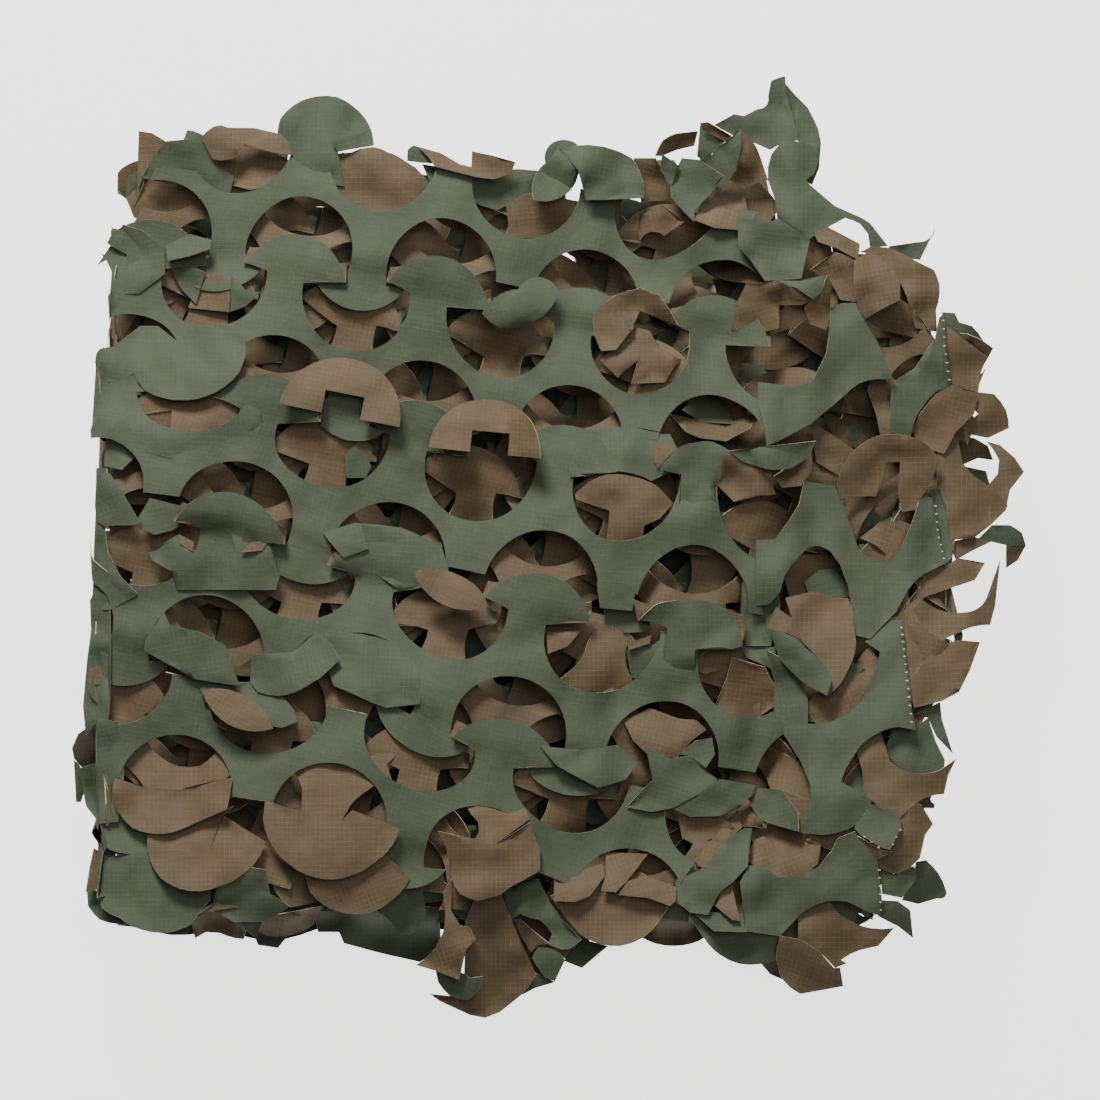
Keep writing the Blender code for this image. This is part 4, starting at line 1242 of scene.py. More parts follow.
        (146.6, -218, -12), (136, -220, -12), (125, -222, -12), (120, -218.8, -10), (115.6, -214, -8),
        (113, -205, -4, 0.5)]),
    Ply(5, "brown", [(104, -205, -18), (114, -204, -16), (117, -215, -22), (110, -212, -22)]),
    Ply(7, "green", [(69, -182, -6), (97.5, -184, -4), (115, -191, -4), (113.5, -205, -9, 1), (105, -207, -11, 1),
        (95, -207, -12, 1), (85, -202.5, -11, 1), (77, -194, -9)]),
    Ply(8, "green", [(70, -180, -3), (96, -182, -1), (98.5, -191, 0), (82, -190.5, -2)]),
    Ply(8, "brown", [(82.5, -178, 0), (86, -170, -1), (91, -168, -2), (95, -185.6, 2), (91, -185, 2)]),
    Ply(8, "green", [(101, -139, 1), (99, -158, 2), (92.5, -165, 2), (85, -171, 2), (79, -182.5, 0), (70, -181, -1),
        (62, -175, -1), (63, -165, -1), (75, -160, 0), (82.5, -152.5, 1), (87.5, -145, 1), (97.5, -139, 1)]),
    Ply(7, "brown", [(102, -145, -4), (113.8, -139, -6), (125, -140, -5), (136, -144, -5), (134, -157, -3),
        (125, -164, -3), (117.5, -165, -3), (102.5, -159, -4), (98, -154, -5)]),
    Ply(8, "green", [(104, -119, 1), (116, -120, 2), (124, -131, 4), (124.5, -141, 5), (114, -138, 2, 1),
        (104, -134, 0), (100, -127, 0)]),
    Ply(7, "brown", [(116, -120, 0), (127, -124, 0), (131, -124, 1), (125, -141, 1), (122, -130, 0)]),
    Ply(8, "green", [(61, -129, 2), (72, -123, 3), (85, -114.5, 5), (102.5, -117.5, 5), (101, -122.5, 4),
        (95, -129, 3), (85, -133, 2), (70, -133.5, 1)]),
    Ply(7, "brown", [(64, -134, -3), (85, -133, -2), (92, -138, -1), (86, -143, -3), (72, -147, -3), (66, -144, -4)]),
    Ply(7, "brown", [(70, -152, -5), (74, -158, -2), (78, -159, 0), (87, -146, -1), (96, -139, -2), (94, -130, -6),
        (80, -146, -5)]),
    # along the back edge, left of the middle
    Ply(8, "green", [(-204, 186, -1.5), (-198, 197, 2), (-191.8, 204.4, 2), (-182, 205.4, 3), (-174.4, 205.6, 3),
        (-171, 199.6, 2), (-168, 193, 1), (-158, 187, -1.5), (-160, 178, -2), (-180, 181, -2)]),
    Ply(6, "brown", [(-212, 176, -12), (-200, 192, -10), (-180, 186, -10), (-174, 172, -10), (-190, 166, -12),
        (-208, 166, -12)]),
    Ply(8, "brown", [(-174.4, 206.5, 5), (-171.7, 209.3, 5), (-168.2, 211.7, 5), (-164.7, 212.4, 5),
        (-160.6, 211.1, 5), (-148.1, 211, 5), (-134.2, 207.9, 3), (-130.7, 203.8, 3), (-128.2, 197.2, 1),
        (-138.1, 198.6, 5), (-146.7, 201, 7), (-153.2, 203.1, 8), (-155, 199.6, 7), (-157.8, 195.7, 5),
        (-164.7, 194.7, 4), (-168.2, 195.4, 4), (-171, 199.6, 4)]),
    Ply(7, "brown", [(-172, 201, -4), (-153, 204, -6), (-138, 199.5, -6), (-128, 193, -6), (-134, 183, -5),
        (-150, 180, -3), (-166, 184, -3), (-174, 192, -4)]),
    Ply(8, "green", [(-136.2, 208.6, 0, 1), (-134.9, 215.6, 1, 1), (-131.4, 219.7, 2, 1), (-124.4, 224.6, 3, 1),
        (-116.1, 226.9, 4, 1), (-106.1, 226.4, 4, 1), (-99.2, 222.5, 3, 1), (-92.2, 215.6, 2, 1), (-88.8, 208.6, 2),
        (-88, 202.4, 2), (-99.2, 200.6, 3), (-106, 199, 3), (-103, 182, -2.5), (-127, 184, -2.5), (-127.5, 197.8, 1),
        (-134.5, 202.5, 0)]),
    Ply(8, "green", [(-109.6, 204.2, 6), (-101.9, 206.5, 7), (-92.2, 209, 5), (-88.3, 202.2, 4), (-99.2, 200.4, 6),
        (-106.1, 199, 5), (-107.5, 201.7, 5)]),
    Ply(7, "brown", [(-106.8, 198.2, 1), (-99.2, 198.8, 3), (-95, 200.6, 4), (-88.8, 201.5, 4, 0.5),
        (-81.1, 198.8, 3, 0.5), (-72.8, 194.7, 1), (-67.2, 191.3, -1), (-62.4, 186.1, -3), (-59, 174, -6),
        (-74, 166, -6), (-94, 166, -6), (-108, 174, -6), (-113, 188, -5)]),
    Ply(7, "green", [(-71.4, 194.5, 0), (-71.1, 200.3, 2), (-68.3, 202.4, 3), (-65.1, 201.4, 3), (-59.8, 198.6, 1),
        (-58.9, 193.3, 0), (-64.4, 193.6, 0)]),
    Ply(8, "brown", [(-66, 201.6, 4), (-54.7, 198.4, 3), (-45, 192.8, 2), (-39.4, 191.5, 3), (-39, 199.4, 6),
        (-29.7, 197.5, 7), (-17.2, 194, 6), (-18.6, 190.6, 4), (-22.1, 187.1, 3), (-28.3, 185.3, 4),
        (-36.7, 186.4, 4), (-47.8, 189.2, 3), (-57.5, 191.7, 3), (-60.6, 196.1, 3)]),
    Ply(7, "green", [(-64, 193, -5), (-40, 189, -3), (-16.5, 190.5, -3), (-4.7, 189.6, -2), (6, 192, -2),
        (8, 176, -3), (-4, 178, -4), (-14, 176, -4), (-26, 170, -6), (-34, 172, -6), (-60, 184, -6)]),
    Ply(7, "brown", [(-22, 172, -4), (-14.4, 177, 0, 0.5), (-6, 179, 1, 0.5), (3, 178, 1), (12, 174, 0),
        (16, 160, -5), (0, 156, -6), (-20, 156, -6)]),
    Ply(6, "green", [(-30, 180, -8), (-10, 186, -8), (-2, 178, -8), (-14, 168, -8), (-28, 168, -9)]),
    # the back left corner and the left edge
    Ply(6, "brown", [(-205.5, 209.5, -4), (-199, 208.5, -2), (-191.5, 204, -2), (-197, 198, -4), (-202, 190, -6),
        (-206, 180, -8), (-206, 198, -6)]),
    Ply(6, "green", [(-211, 187, -12), (-205, 190, -8), (-203, 183, -8), (-208, 172, -10), (-212, 178, -14)]),
    Ply(8, "green", [(-204.3, 160, 3), (-213.6, 162.8, 2), (-220, 152, 0), (-226.1, 142.6, -4), (-221.9, 145, -1),
        (-219.2, 139.2, 0), (-220, 128, 0), (-206, 128, 1), (-192.5, 138, 1.5), (-192.5, 151.7, 2)]),
    Ply(8, "green", [(-192.5, 152, 5), (-191, 144.5, 7), (-180, 147, 7), (-170, 150.5, 6), (-169.5, 155, 4),
        (-180, 158, 3)]),
    Ply(7, "green", [(-191, 147, -1), (-188.5, 138, -2), (-184, 130, -2), (-177, 123, -2), (-172.5, 138.5, -1),
        (-178.6, 142, 0)]),
    Ply(7, "brown", [(-173, 139, -2), (-159.5, 136, -2), (-160.6, 119, -4), (-181, 121, -4), (-178, 128, -3)]),
    Ply(7, "green", [(-159.2, 138.5, -1), (-152.2, 130.1, 0), (-145, 128.8, -1), (-152.2, 121.8, -3),
        (-160, 119, -3)]),
    Ply(8, "green", [(-221, 99, 1), (-214, 105, 2), (-205, 112, 2), (-196, 112, 2), (-186, 104, 2), (-181, 109, 2),
        (-172, 113, 1.5), (-160, 110, 1.5), (-153, 106, 2), (-151.7, 98.2, 3), (-155.1, 89.2, 4, 1),
        (-162.8, 81.5, 5, 1), (-172.5, 76.7, 5, 1), (-183.6, 74.9, 5, 1), (-193.3, 76, 4, 1), (-203, 80, 3, 1),
        (-208.3, 88.5, 2), (-213, 85, 1.5), (-221, 84, 1)]),
    Ply(8, "green", [(-207.9, 82.2, 0.3), (-205.1, 72.5, 0.4, -1), (-200.3, 65.6, 0.4, -1), (-191.9, 61.4, 0.4, -1),
        (-179.4, 59, 0.4, -1), (-168.3, 60.7, 0.4, -1), (-157.2, 66.9, 0.4, -1), (-150.3, 74.6, 0.4, -1),
        (-146.1, 86.4, 0.3), (-141, 80, -0.3), (-144, 64, -0.3), (-156, 50, -0.3), (-180, 43, -0.3), (-202, 49, -0.3),
        (-213, 62, -0.3), (-214, 80, -0.3)]),
    Ply(7, "brown", [(-206, 84, -3), (-190, 88, -2), (-170, 86, -2), (-156, 92, -1), (-147, 90, -2), (-150, 72, -4),
        (-166, 58, -4), (-178, 56, -3), (-190, 60, -3), (-189, 70, -3), (-202, 68, -4)]),
    Ply(8, "green", [(-226.7, 37.8, 2), (-220.4, 38.5, 3), (-215.6, 32.2, 4), (-205, 14.2, 3), (-207, 12.5, 3),
        (-223, 12, 2), (-226.5, 14, 0), (-227.5, 22, -1)]),
    Ply(8, "green", [(-226.8, 41, -5), (-221.5, 41, 0), (-221, 22, 0), (-222.5, 12, 0.4), (-221, -1, 0.4),
        (-215, -13, 0.4), (-206, -22, 0.3), (-220, -30, 0.3), (-229, -30, -5), (-228.5, -17.5, -5), (-228, 0, -5),
        (-227, 20, -5)]),
    Ply(8, "green", [(-230, -25, -4), (-226, -17.5, -3), (-220, -22, 0.4), (-219.5, -45, 0.4), (-220, -75, 0.3),
        (-221, -88, 0.2), (-227.5, -87, -3), (-232, -93, -8), (-233.5, -78, -8), (-231.5, -55, -8),
        (-229.5, -40, -6)]),
    Ply(7, "green", [(-222, 58, -5), (-213, 61, -4), (-204, 50, -5), (-214, 40, -5), (-223, 42, -6)]),
    Ply(8, "green", [(-206, 16, 1.5), (-202.4, 10, 1.5), (-197.5, 7.5, 1.5), (-189.2, 9.7, 1.5), (-183.6, 12.8, 1.5),
        (-184, 22, 1.5), (-200, 26, 1.5)]),
    Ply(8, "green", [(-201, -1.1, 0), (-185.7, 7.9, 1.5), (-185, 4.4, 2), (-178.8, 0.3, 2), (-164.2, -2.5, 2.5),
        (-157.2, -1.1, 2.5), (-160, 11.4, 2), (-148.9, 6.5, 2), (-140.6, 4.4, 2), (-135, -12.2, 1.5),
        (-137, -20, 1.5), (-186, -20, 1.5), (-189.2, -10.8, 1), (-198.9, -5.3, 0)]),
    Ply(8, "brown", [(-185.7, 8, 2.5), (-178, 4, 3.5), (-178.8, -0.8, 3.5), (-185.3, 3, 2.5)]),
    Ply(8, "brown", [(-155.1, -1.4, 4), (-144, -0.3, 4), (-140.6, 4.4, 3), (-149.6, 4, 3.5)]),
    # inside the openings left of the middle
    Ply(7, "green", [(-113, 76, 1), (-93, 76, 1), (-90, 62, 2), (-82.5, 59.3, 1), (-86.7, 56.5, 1, 0.5),
        (-95, 54.4, 1, 0.5), (-104.7, 55.8, 1, 0.5), (-115, 62, 0)]),
    Ply(7, "green", [(-102.6, 47.5, -1), (-95, 55, -1), (-89.4, 41.9, -2), (-92, 36, -3), (-101.5, 36, -3)]),
    Ply(8, "green", [(-113.8, 8.6, 2), (-97.8, 13.5, 4), (-94.7, 13.1, 4), (-90.8, 0.6, 6), (-103.3, -3.9, 5),
        (-108.2, 1.7, 4)]),
    Ply(8, "green", [(-98, 13.6, 2, 0.4), (-74.2, 11.1, 2, 0.4), (-58.9, 3.8, 1.5), (-54.7, 3.8, 1),
        (-50.6, -10.8, 1.5), (-49, -16, 2), (-75.6, -20, 2), (-92.2, -8, 2), (-90.6, 0.3, 2)]),
    # inside and round the openings right of the middle
    Ply(8, "brown", [(51.9, 53.8, 1), (61.7, 52, 3), (63.8, 50.3, 3), (56.1, 43.3, 3), (54, 40.6, 2),
        (51.9, 44.7, 1)]),
    Ply(8, "green", [(56.1, 43.3, 4), (63.8, 51, 4, 0.5), (72.8, 53.8, 4, 0.4), (81.1, 54.2, 3, 0.5), (90.8, 48.9, 2),
        (85.3, 40.6, 2), (82.5, 32.2, 1), (84, 18, -2), (64, 18, -2), (65.8, 37.8, 2), (54.7, 39.9, 3)]),
    Ply(8, "green", [(8, 52, 0.5), (10, 36.5, 1), (20, 37, 1, -0.5), (31, 39.5, 1, -0.4), (42, 38, 1, -0.4),
        (50.6, 34.5, 1), (56, 37, 1), (64, 40.5, 1), (66, 46, 0.5), (60, 58, 0), (40, 62, -1), (18, 60, -1)]),
    Ply(7, "brown", [(12.4, 28.1, -2), (17.2, 32.2, 0, 0.4), (22.8, 35.7, 1, 0.6), (31.1, 37.8, 2, 0.5),
        (40.8, 36.7, 2, 0.4), (50.6, 33.6, 1, 0.4), (56.1, 29.4, 0), (61.7, 23.2, -2), (54.7, 15.6, -3),
        (47.1, 12.1, -3), (46, 4, -4), (28, 4, -4), (29, 10, -3), (29.7, 19.7, -1), (13, 25.3, -2)]),
    Ply(6, "green", [(66, 70, -16), (76, 64, -14), (92, 63, -14), (88, 74, -18), (76, 80, -18)]),
    Ply(8, "green", [(23.5, -16, 0.5), (43, -19, 0.5), (41, -30.5, 1), (25, -29, 1)]),
    Ply(7, "green", [(26.9, -28, -3), (40.8, -28, -3), (42.9, -36.3, -3), (50.6, -37.6, -3), (47.8, -41.1, -2),
        (36.7, -41.4, -2), (27.6, -38.3, -3)]),
    Ply(7, "brown", [(22.8, -38.3, -3), (31.1, -37.6, -2), (36.7, -41.8, -1), (38.8, -46.7, 0, -0.8),
        (38.1, -57.8, -1), (41.5, -66, -2), (27.6, -74, -3), (3, -66, -3), (13.1, -57.8, -2, -0.8),
        (18.6, -46.7, -1)]),
    Ply(7, "brown", [(-2, -41, -3), (15.8, -40, -2), (9, -48, -2), (-1, -52, -3)]),
    Ply(8, "brown", [(38.8, -46.7, 0), (50.6, -42.5, 1), (49.9, -46.7, 1), (39.4, -50.1, 0)]),
    Ply(7, "green", [(38.1, -49.4, -3), (50.6, -48, -3), (58, -43, -3), (57, -52, -3), (48, -64, -4),
        (40.8, -64, -4)]),
    Ply(8, "green", [(44.3, -34.9, 5), (51.9, -27.9, 5, 0.6), (60.3, -25.6, 5, 0.5), (71.4, -24.7, 5, 0.5),
        (81.1, -26.5, 4, 0.4), (88.1, -30, 4, 0.5), (92.2, -35.6, 4, 0.4), (95.3, -42.5, 4), (96.1, -48.1, 4),
        (90.8, -49.7, 4), (72.8, -49.7, 3), (73, -66, -2), (54, -66, -2), (58.9, -39, 3), (53.3, -36.3, 4)]),
    Ply(8, "brown", [(41.5, -24.4, 1), (52.2, -28.3, 4), (45, -35.3, 4), (43.5, -35.8, 3)]),
    Ply(8, "brown", [(88, -31, 2), (96.4, -32.5, 2), (97.5, -39.7, 2), (95.9, -48.8, 3), (92, -44, 1)]),
    Ply(7, "green", [(96, -16, -3), (114, -18, -3), (115, -30, -3), (110, -50, -5), (98, -49, -5), (95, -36, -4)]),
    Ply(7, "brown", [(90.8, -53.6, -1), (107.5, -58.5, 0), (109.6, -63.3, 0), (117, -75, -6), (100.6, -86, -7),
        (82, -79, -6), (88.1, -64.7, -3)]),
    Ply(7, "green", [(95, -48, -4), (113.1, -48, -4), (114, -62, -4), (108.2, -58, -3), (97.8, -53.6, -3)]),
    Ply(7, "brown", [(72, -48, -5), (95, -49, -5), (90, -58, -4), (78, -62, -5), (72, -60, -6)]),
    Ply(7, "brown", [(36.7, -85.6, -2), (49.9, -78.9, -2), (64.4, -84.4, -1), (72.8, -84.9, -1), (78.3, -89.7, -1),
        (70.7, -95.3, 0), (63.8, -104, 1), (48.5, -102, 1), (41.5, -95.3, -1)]),
    Ply(8, "green", [(47.8, -98.1, 2), (60.3, -104.3, 5), (70, -102.9, 5), (83.9, -114.7, 4), (78.3, -120.3, 3),
        (61.7, -128.9, 3), (50.6, -131, 3), (38.1, -128.6, 2), (51.3, -114.7, 5)]),
    Ply(8, "green", [(65.1, -102.2, 3), (72.8, -95.3, 2), (81.1, -93.9, 1), (82.5, -102.2, 2), (78, -109, 3),
        (70, -102.9, 4)]),
    Ply(8, "green", [(-5, -98, 2), (15.8, -100, 1), (33.9, -97.4, 2), (43.6, -106.4, 4), (38.1, -114.7, 5),
        (24.2, -118.9, 5), (15.8, -114.7, 5), (3.3, -107.8, 4)]),
    # the front disc right of the middle, with its torn neck
    Ply(7, "brown", [(0, -173, -3), (7, -183, -4), (15, -192, -5, 1), (25, -197, -6, 1), (35, -198, -7, 1),
        (46, -194, -6, 1), (54, -186, -4, 1), (60, -176, -1), (56, -166, -2), (45, -161, -3), (30, -166, -3),
        (12, -168, -3)]),
    Ply(8, "brown", [(28, -151, -2), (49, -152, -1), (39, -165, 3), (33, -171, 4), (25.5, -170.5, 2), (28, -162, 0)]),
    Ply(8, "brown", [(38.8, -165.6, 2), (48, -162.5, 2), (63, -168.5, 0), (63, -175, 2), (60, -178, 3),
        (48.8, -174, 4), (34, -172.5, 3)]),
    Ply(8, "brown", [(2, -164, -2), (17, -160, 0), (26, -157, -1), (27.5, -163, 1), (20, -173, 3), (12.5, -176, 3),
        (2, -175.5, 1)]),
    Ply(6, "green", [(3, -180, -10), (16, -195, -12), (7.5, -199.5, -16), (0, -198, -14)]),
    Ply(4, "green", [(14, -194, -30), (29, -198, -30), (16, -209, -34), (7, -205.5, -32)]),
    Ply(3, "brown", [(44, -192.5, -56, 1), (62, -198, -62, 1), (78, -193.5, -56), (68, -177, -32), (52, -178, -32)]),
    Ply(6, "green", [(55, -184, -9), (63, -176, -8), (70, -180, -9), (69, -186, -11)]),
    # flaps lying flat in the left-hand openings
    Ply(8, "green", [(-202.5, -45, 1), (-193, -31, 0), (-190, -37.5, 2), (-175, -41, 2), (-162.5, -47.5, 3),
        (-160, -55, 4), (-155, -68, 6), (-172, -65.5, 5), (-180, -64, 4), (-191, -57, 2), (-203, -50.5, 1)]),
    Ply(7, "green", [(-176, -66, 0), (-173, -76, 2), (-155, -85, 2), (-134, -89, 3), (-126.5, -86, 3), (-128, -80, 1),
        (-135, -71, 0), (-150, -66, -1)]),
    Ply(8, "green", [(-149, -52.5, 1), (-129, -51, 3), (-117.5, -41, 1), (-110, -46, 3), (-105, -55, 5),
        (-115, -64, 5), (-125, -70, 4, 1), (-136, -73, 3, 1), (-146, -71, 2), (-150, -66, 0)]),
    Ply(8, "green", [(-118, -43, 0), (-104, -42, 1, 1), (-90, -43, 1, 1), (-78, -47, 1, 1), (-70, -53, 1, 1),
        (-65.5, -65, 1), (-65, -77, 0), (-82, -79, 0), (-90, -76, 0), (-108, -68, 0), (-112, -58, 0)]),
    # the front discs and what hangs below them
    Ply(8, "brown", [(-217.5, -114, 3), (-202, -118.5, 1), (-185, -119.5, 0), (-163.8, -114.5, 2), (-159, -114, 3),
        (-160, -122, 4), (-161.5, -129.5, 7), (-175, -135.5, 5), (-185, -140, 4, 1), (-197.5, -142, 4, 1),
        (-209, -138.8, 4, 1), (-216, -131, 4, 1), (-219, -119, 4)]),
    Ply(7, "brown", [(-202, -94, -4), (-199.5, -98.8, -4, -1), (-186, -108, -2, -1), (-175, -108, -2, -1),
        (-165, -98.5, -4), (-158, -106, -3), (-158, -111, -2), (-165, -117, -1), (-185, -123, -1),
        (-202, -121, -1, -1), (-211, -109, -4), (-215, -106, -4)]),
    Ply(7, "brown", [(-158, -128, -2), (-164, -133, -2), (-171, -152.5, 1), (-163, -132.5, -2), (-142, -146, -1),
        (-145, -153, 1, 1), (-155, -163, 2, 1), (-165, -168, 2, 1), (-175, -170.6, 2, 1), (-185, -169.4, 2, 1),
        (-195, -163.8, 1, 1), (-200, -155, 0, 1), (-201.5, -146, 0), (-200, -132, 0), (-180, -130, 0)]),
    Ply(7, "green", [(-226, -132, -1), (-226, -145, -2), (-220, -150, -3, 1), (-210, -152, -3, 1), (-199, -151, -3),
        (-198, -134, -1)]),
    Ply(6, "green", [(-222.5, -154, -5), (-205, -150, -3), (-190, -158, -4), (-170, -165, -4), (-170, -175, -6),
        (-175, -181, -7), (-180, -187.5, -8, 1), (-190, -191, -9, 1), (-204, -190, -9, 1), (-215, -184, -8, 1),
        (-224, -179, -8, 1), (-227, -166, -7)]),
    Ply(6, "brown", [(-228, -149, -8), (-222, -153, -6), (-226, -160, -8), (-227, -170, -10), (-232, -171, -14),
        (-230, -158, -12)]),
    Ply(5, "green", [(-231.6, -169, -20), (-231, -178, -22, 1), (-225, -185, -22, 1), (-211, -187, -20),
        (-220, -172, -16)]),
    Ply(4, "green", [(-196, -188, -26), (-190, -192.5, -28), (-182, -192.5, -28), (-176, -184, -24)]),
    Ply(5, "brown", [(-180, -184, -16), (-177.5, -194, -32), (-172, -191, -28), (-165, -191.5, -28, 1),
        (-153, -194.5, -34), (-150, -184, -18), (-166, -175, -10)]),
    Ply(7, "green", [(-166, -166, 1), (-152, -158, 2), (-142, -160, 1), (-140, -172, -3), (-130, -178, -8),
        (-142, -186, -10), (-158, -186, -10), (-169, -180, -7)]),
    Ply(6, "green", [(-169, -172, -8), (-167, -165, -8), (-157, -163, -8), (-151, -172, -8), (-141, -180.5, -11),
        (-147, -194, -16), (-157.5, -186, -12), (-168, -180, -9)]),
    Ply(6, "brown", [(-160, -168, -6), (-150, -160, -5), (-151, -171, -6), (-155, -172.5, -6)]),
    Ply(5, "green", [(-144, -158, -14), (-125, -161, -14), (-113, -178, -16), (-126, -180, -18), (-143, -179, -18)]),
    Ply(5, "brown", [(-146, -190, -26), (-141, -183, -14), (-130, -181, -12), (-114, -178, -12),
        (-115.5, -185, -22, 1), (-125, -191, -30, 1), (-143, -192.5, -31)]),
    Ply(3, "green", [(-150, -188, -38), (-133, -190, -38), (-132, -194, -40), (-136, -199, -42),
        (-146, -197.5, -42)]),
    Ply(8, "brown", [(-142.5, -125, 3), (-143.5, -134, 4, 1), (-140, -146, 4, 1), (-130, -157.5, 4, 1),
        (-117.5, -163.8, 4, 1), (-108.8, -164.8, 4, 1), (-98.8, -162.5, 4, 1), (-87.5, -156, 4, 1),
        (-78.8, -147.5, 4, 1), (-75, -139.4, 4), (-98.8, -130, 2), (-104, -135, 1), (-100, -128, 0, -1),
        (-92.5, -121, -1, -1), (-79, -115, -3), (-82, -106, -4), (-92.5, -107, -3), (-105, -105, -3),
        (-122, -104, -3), (-130, -109.5, -4, -2), (-124, -123, 0), (-124.5, -139, 2), (-126, -131, 2)]),
    Ply(7, "brown", [(-125, -156, -1), (-120, -171, -1, 1), (-112.5, -178, -2, 1), (-105, -181, -3, 1),
        (-97.5, -182, -3, 1), (-87.5, -180.6, -3, 1), (-78.8, -175, -2, 1), (-70, -164, -1), (-84, -150, -1),
        (-110, -146, -1)]),
    Ply(6, "green", [(-86, -181, -12), (-78, -172, -9), (-71, -162, -8), (-64, -168, -9), (-62, -181, -12),
        (-65, -189, -14, 1), (-70, -192.5, -16, 1), (-75, -192, -16), (-80, -185, -14)]),
    Ply(3, "green", [(-118, -177, -36), (-116, -191, -52), (-105.5, -191, -52), (-103, -196.5, -58),
        (-85, -201.5, -60), (-65, -206, -62), (-54, -199, -58), (-56, -179, -34), (-90, -173, -30)]),
    Ply(8, "brown", [(-56, -140.5, 2), (-37.5, -144.5, 5), (-35.5, -141, 3), (-36, -136, 0, 1), (-44, -123, -4),
        (-26, -124, -3), (-20, -123, -4), (-14, -127, -2, 1), (-10, -134.5, 1), (-28, -147.5, 7), (-9.5, -136, 5),
        (-5, -149, 3), (-5, -160.5, 4), (-15, -166, 5, -0.5), (-25, -172.5, 6), (-36, -175.5, 5, 1),
        (-45, -172, 4, 1), (-49, -165, 1), (-50.5, -155, 1, -0.5), (-54, -144, 2)]),
    Ply(7, "brown", [(-40, -180, -5), (-36, -171, -3), (-25, -170, -2), (-20, -182.5, -2), (-15, -195, -4),
        (-7, -212.5, -12), (-12.5, -221, -16), (-25, -231, -18), (-32.5, -234, -18), (-40, -232.5, -20),
        (-55, -225.6, -24), (-60, -222, -26), (-41, -224, -18), (-40, -220, -14), (-43, -213, -10), (-42.5, -200, -9),
        (-43.5, -190, -8)]),
    Ply(7, "brown", [(-49, -164, -5), (-53.5, -171, -3, -0.5), (-52.5, -187.5, 0, -1), (-67, -207.5, -8, -0.5),
        (-45.5, -215, -5), (-42, -200, 0), (-37, -194.5, -1), (-40, -188.8, -3), (-45, -187.5, -3),
        (-49.5, -180, -5)]),
    Ply(7, "green", [(-57.5, -209, -12), (-56, -216, -11, 1), (-50, -223, -12, 1), (-41, -225, -12, 1),
        (-36, -221, -9), (-33.5, -213, -5), (-40, -214, -9), (-46, -210, -12)]),
    Ply(6, "green", [(-53, -166, -14), (-38, -174, -12), (-40, -188, -14), (-49, -180, -16)]),
    Ply(7, "green", [(-24, -170, -7), (-6, -164, -8), (0, -176, -5), (5, -183.8, -4), (15.6, -195, -8),
        (10, -199.5, -9), (5, -199.5, -6), (-1, -197, -9), (1, -192, -8, -1), (-5, -185, -4, 1), (-15, -182, -2),
        (-19, -185, -6)]),
    Ply(6, "brown", [(-18, -185, -10), (-15, -184.5, -7), (-7.5, -191, -8), (0, -197, -9), (-6, -197.5, -11),
        (-9.5, -201, -12), (-14, -193.8, -12)]),
    Ply(6, "green", [(-9, -203.8, -12), (-6, -198, -11), (3.8, -200, -9), (7.5, -205, -12), (2.5, -215.6, -18),
        (-2.5, -213.8, -17), (-7, -207.5, -14)]),
    Ply(5, "green", [(-11, -210, -18), (-6, -212, -18), (2.5, -216, -22), (-7.5, -219, -22), (-14, -222.5, -22),
        (-12.5, -215, -20)]),
    Ply(5, "brown", [(-26, -178, -22), (8, -178, -22), (10, -200, -26), (0, -213, -28), (-12, -215, -28),
        (-22, -200, -24)]),
    Ply(6, "brown", [(-239, -99, -26), (-236, -92, -18), (-227.5, -86, -9), (-226, -108, -36), (-233, -110, -40),
        (-238, -104, -34)]),
    Ply(8, "green", [(-227, -84, 1.5), (-216, -86, -0.4), (-213, -100, -0.4), (-213, -115, -0.4), (-216, -136, -0.4),
        (-226, -137, 1.2), (-227, -110, 1.5)]),
    Ply(5, "brown", [(-231, -88, -34), (-222, -84, -34), (-222, -128, -36), (-230, -122, -36)]),
    Ply(6, "brown", [(-221, 15, -6), (-204, 15, -6), (-204, 3, -8), (-219, 3, -8)]),
    Ply(4, "brown", [(4, -180, -30), (18, -186, -32), (20, -197, -42), (8, -205, -46), (0, -196, -40)]),
    Ply(5, "green", [(-238, -105, -28), (-235.5, -107, -27), (-232.5, -114, -28), (-232.5, -120, -30),
        (-234.5, -126, -32), (-237, -126, -32)]),
    Ply(6, "green", [(-235, -109, -20), (-226, -106, -12), (-225, -137, -14), (-232, -128, -20),
        (-233.5, -120, -22)]),
]


Seam = namedtuple("Seam", "x1 y1 x2 y2 up")
# Runs of pale stitches along the cloth's free edge, in mm.
seams = [
    Seam(196.5, 117, 197.5, 100, 0.6), Seam(197.5, 100, 200, 83, 0.4), Seam(192.5, 24, 194, 8, 1),
    Seam(194, 8, 197.5, -6, 0), Seam(175.5, -37, 177.5, -55, 1.2), Seam(177.5, -55, 181, -88, 0.8),
    Seam(155.5, -142, 166, -150, 5), Seam(170.5, -149, 176, -138, 4.5), Seam(164.5, -158, 165.5, -182, -2),
]


stitch = dict(pitch=4, half=(0.4, 0.7), thin=(0.22, 0.32), above=1.2)     # in mm


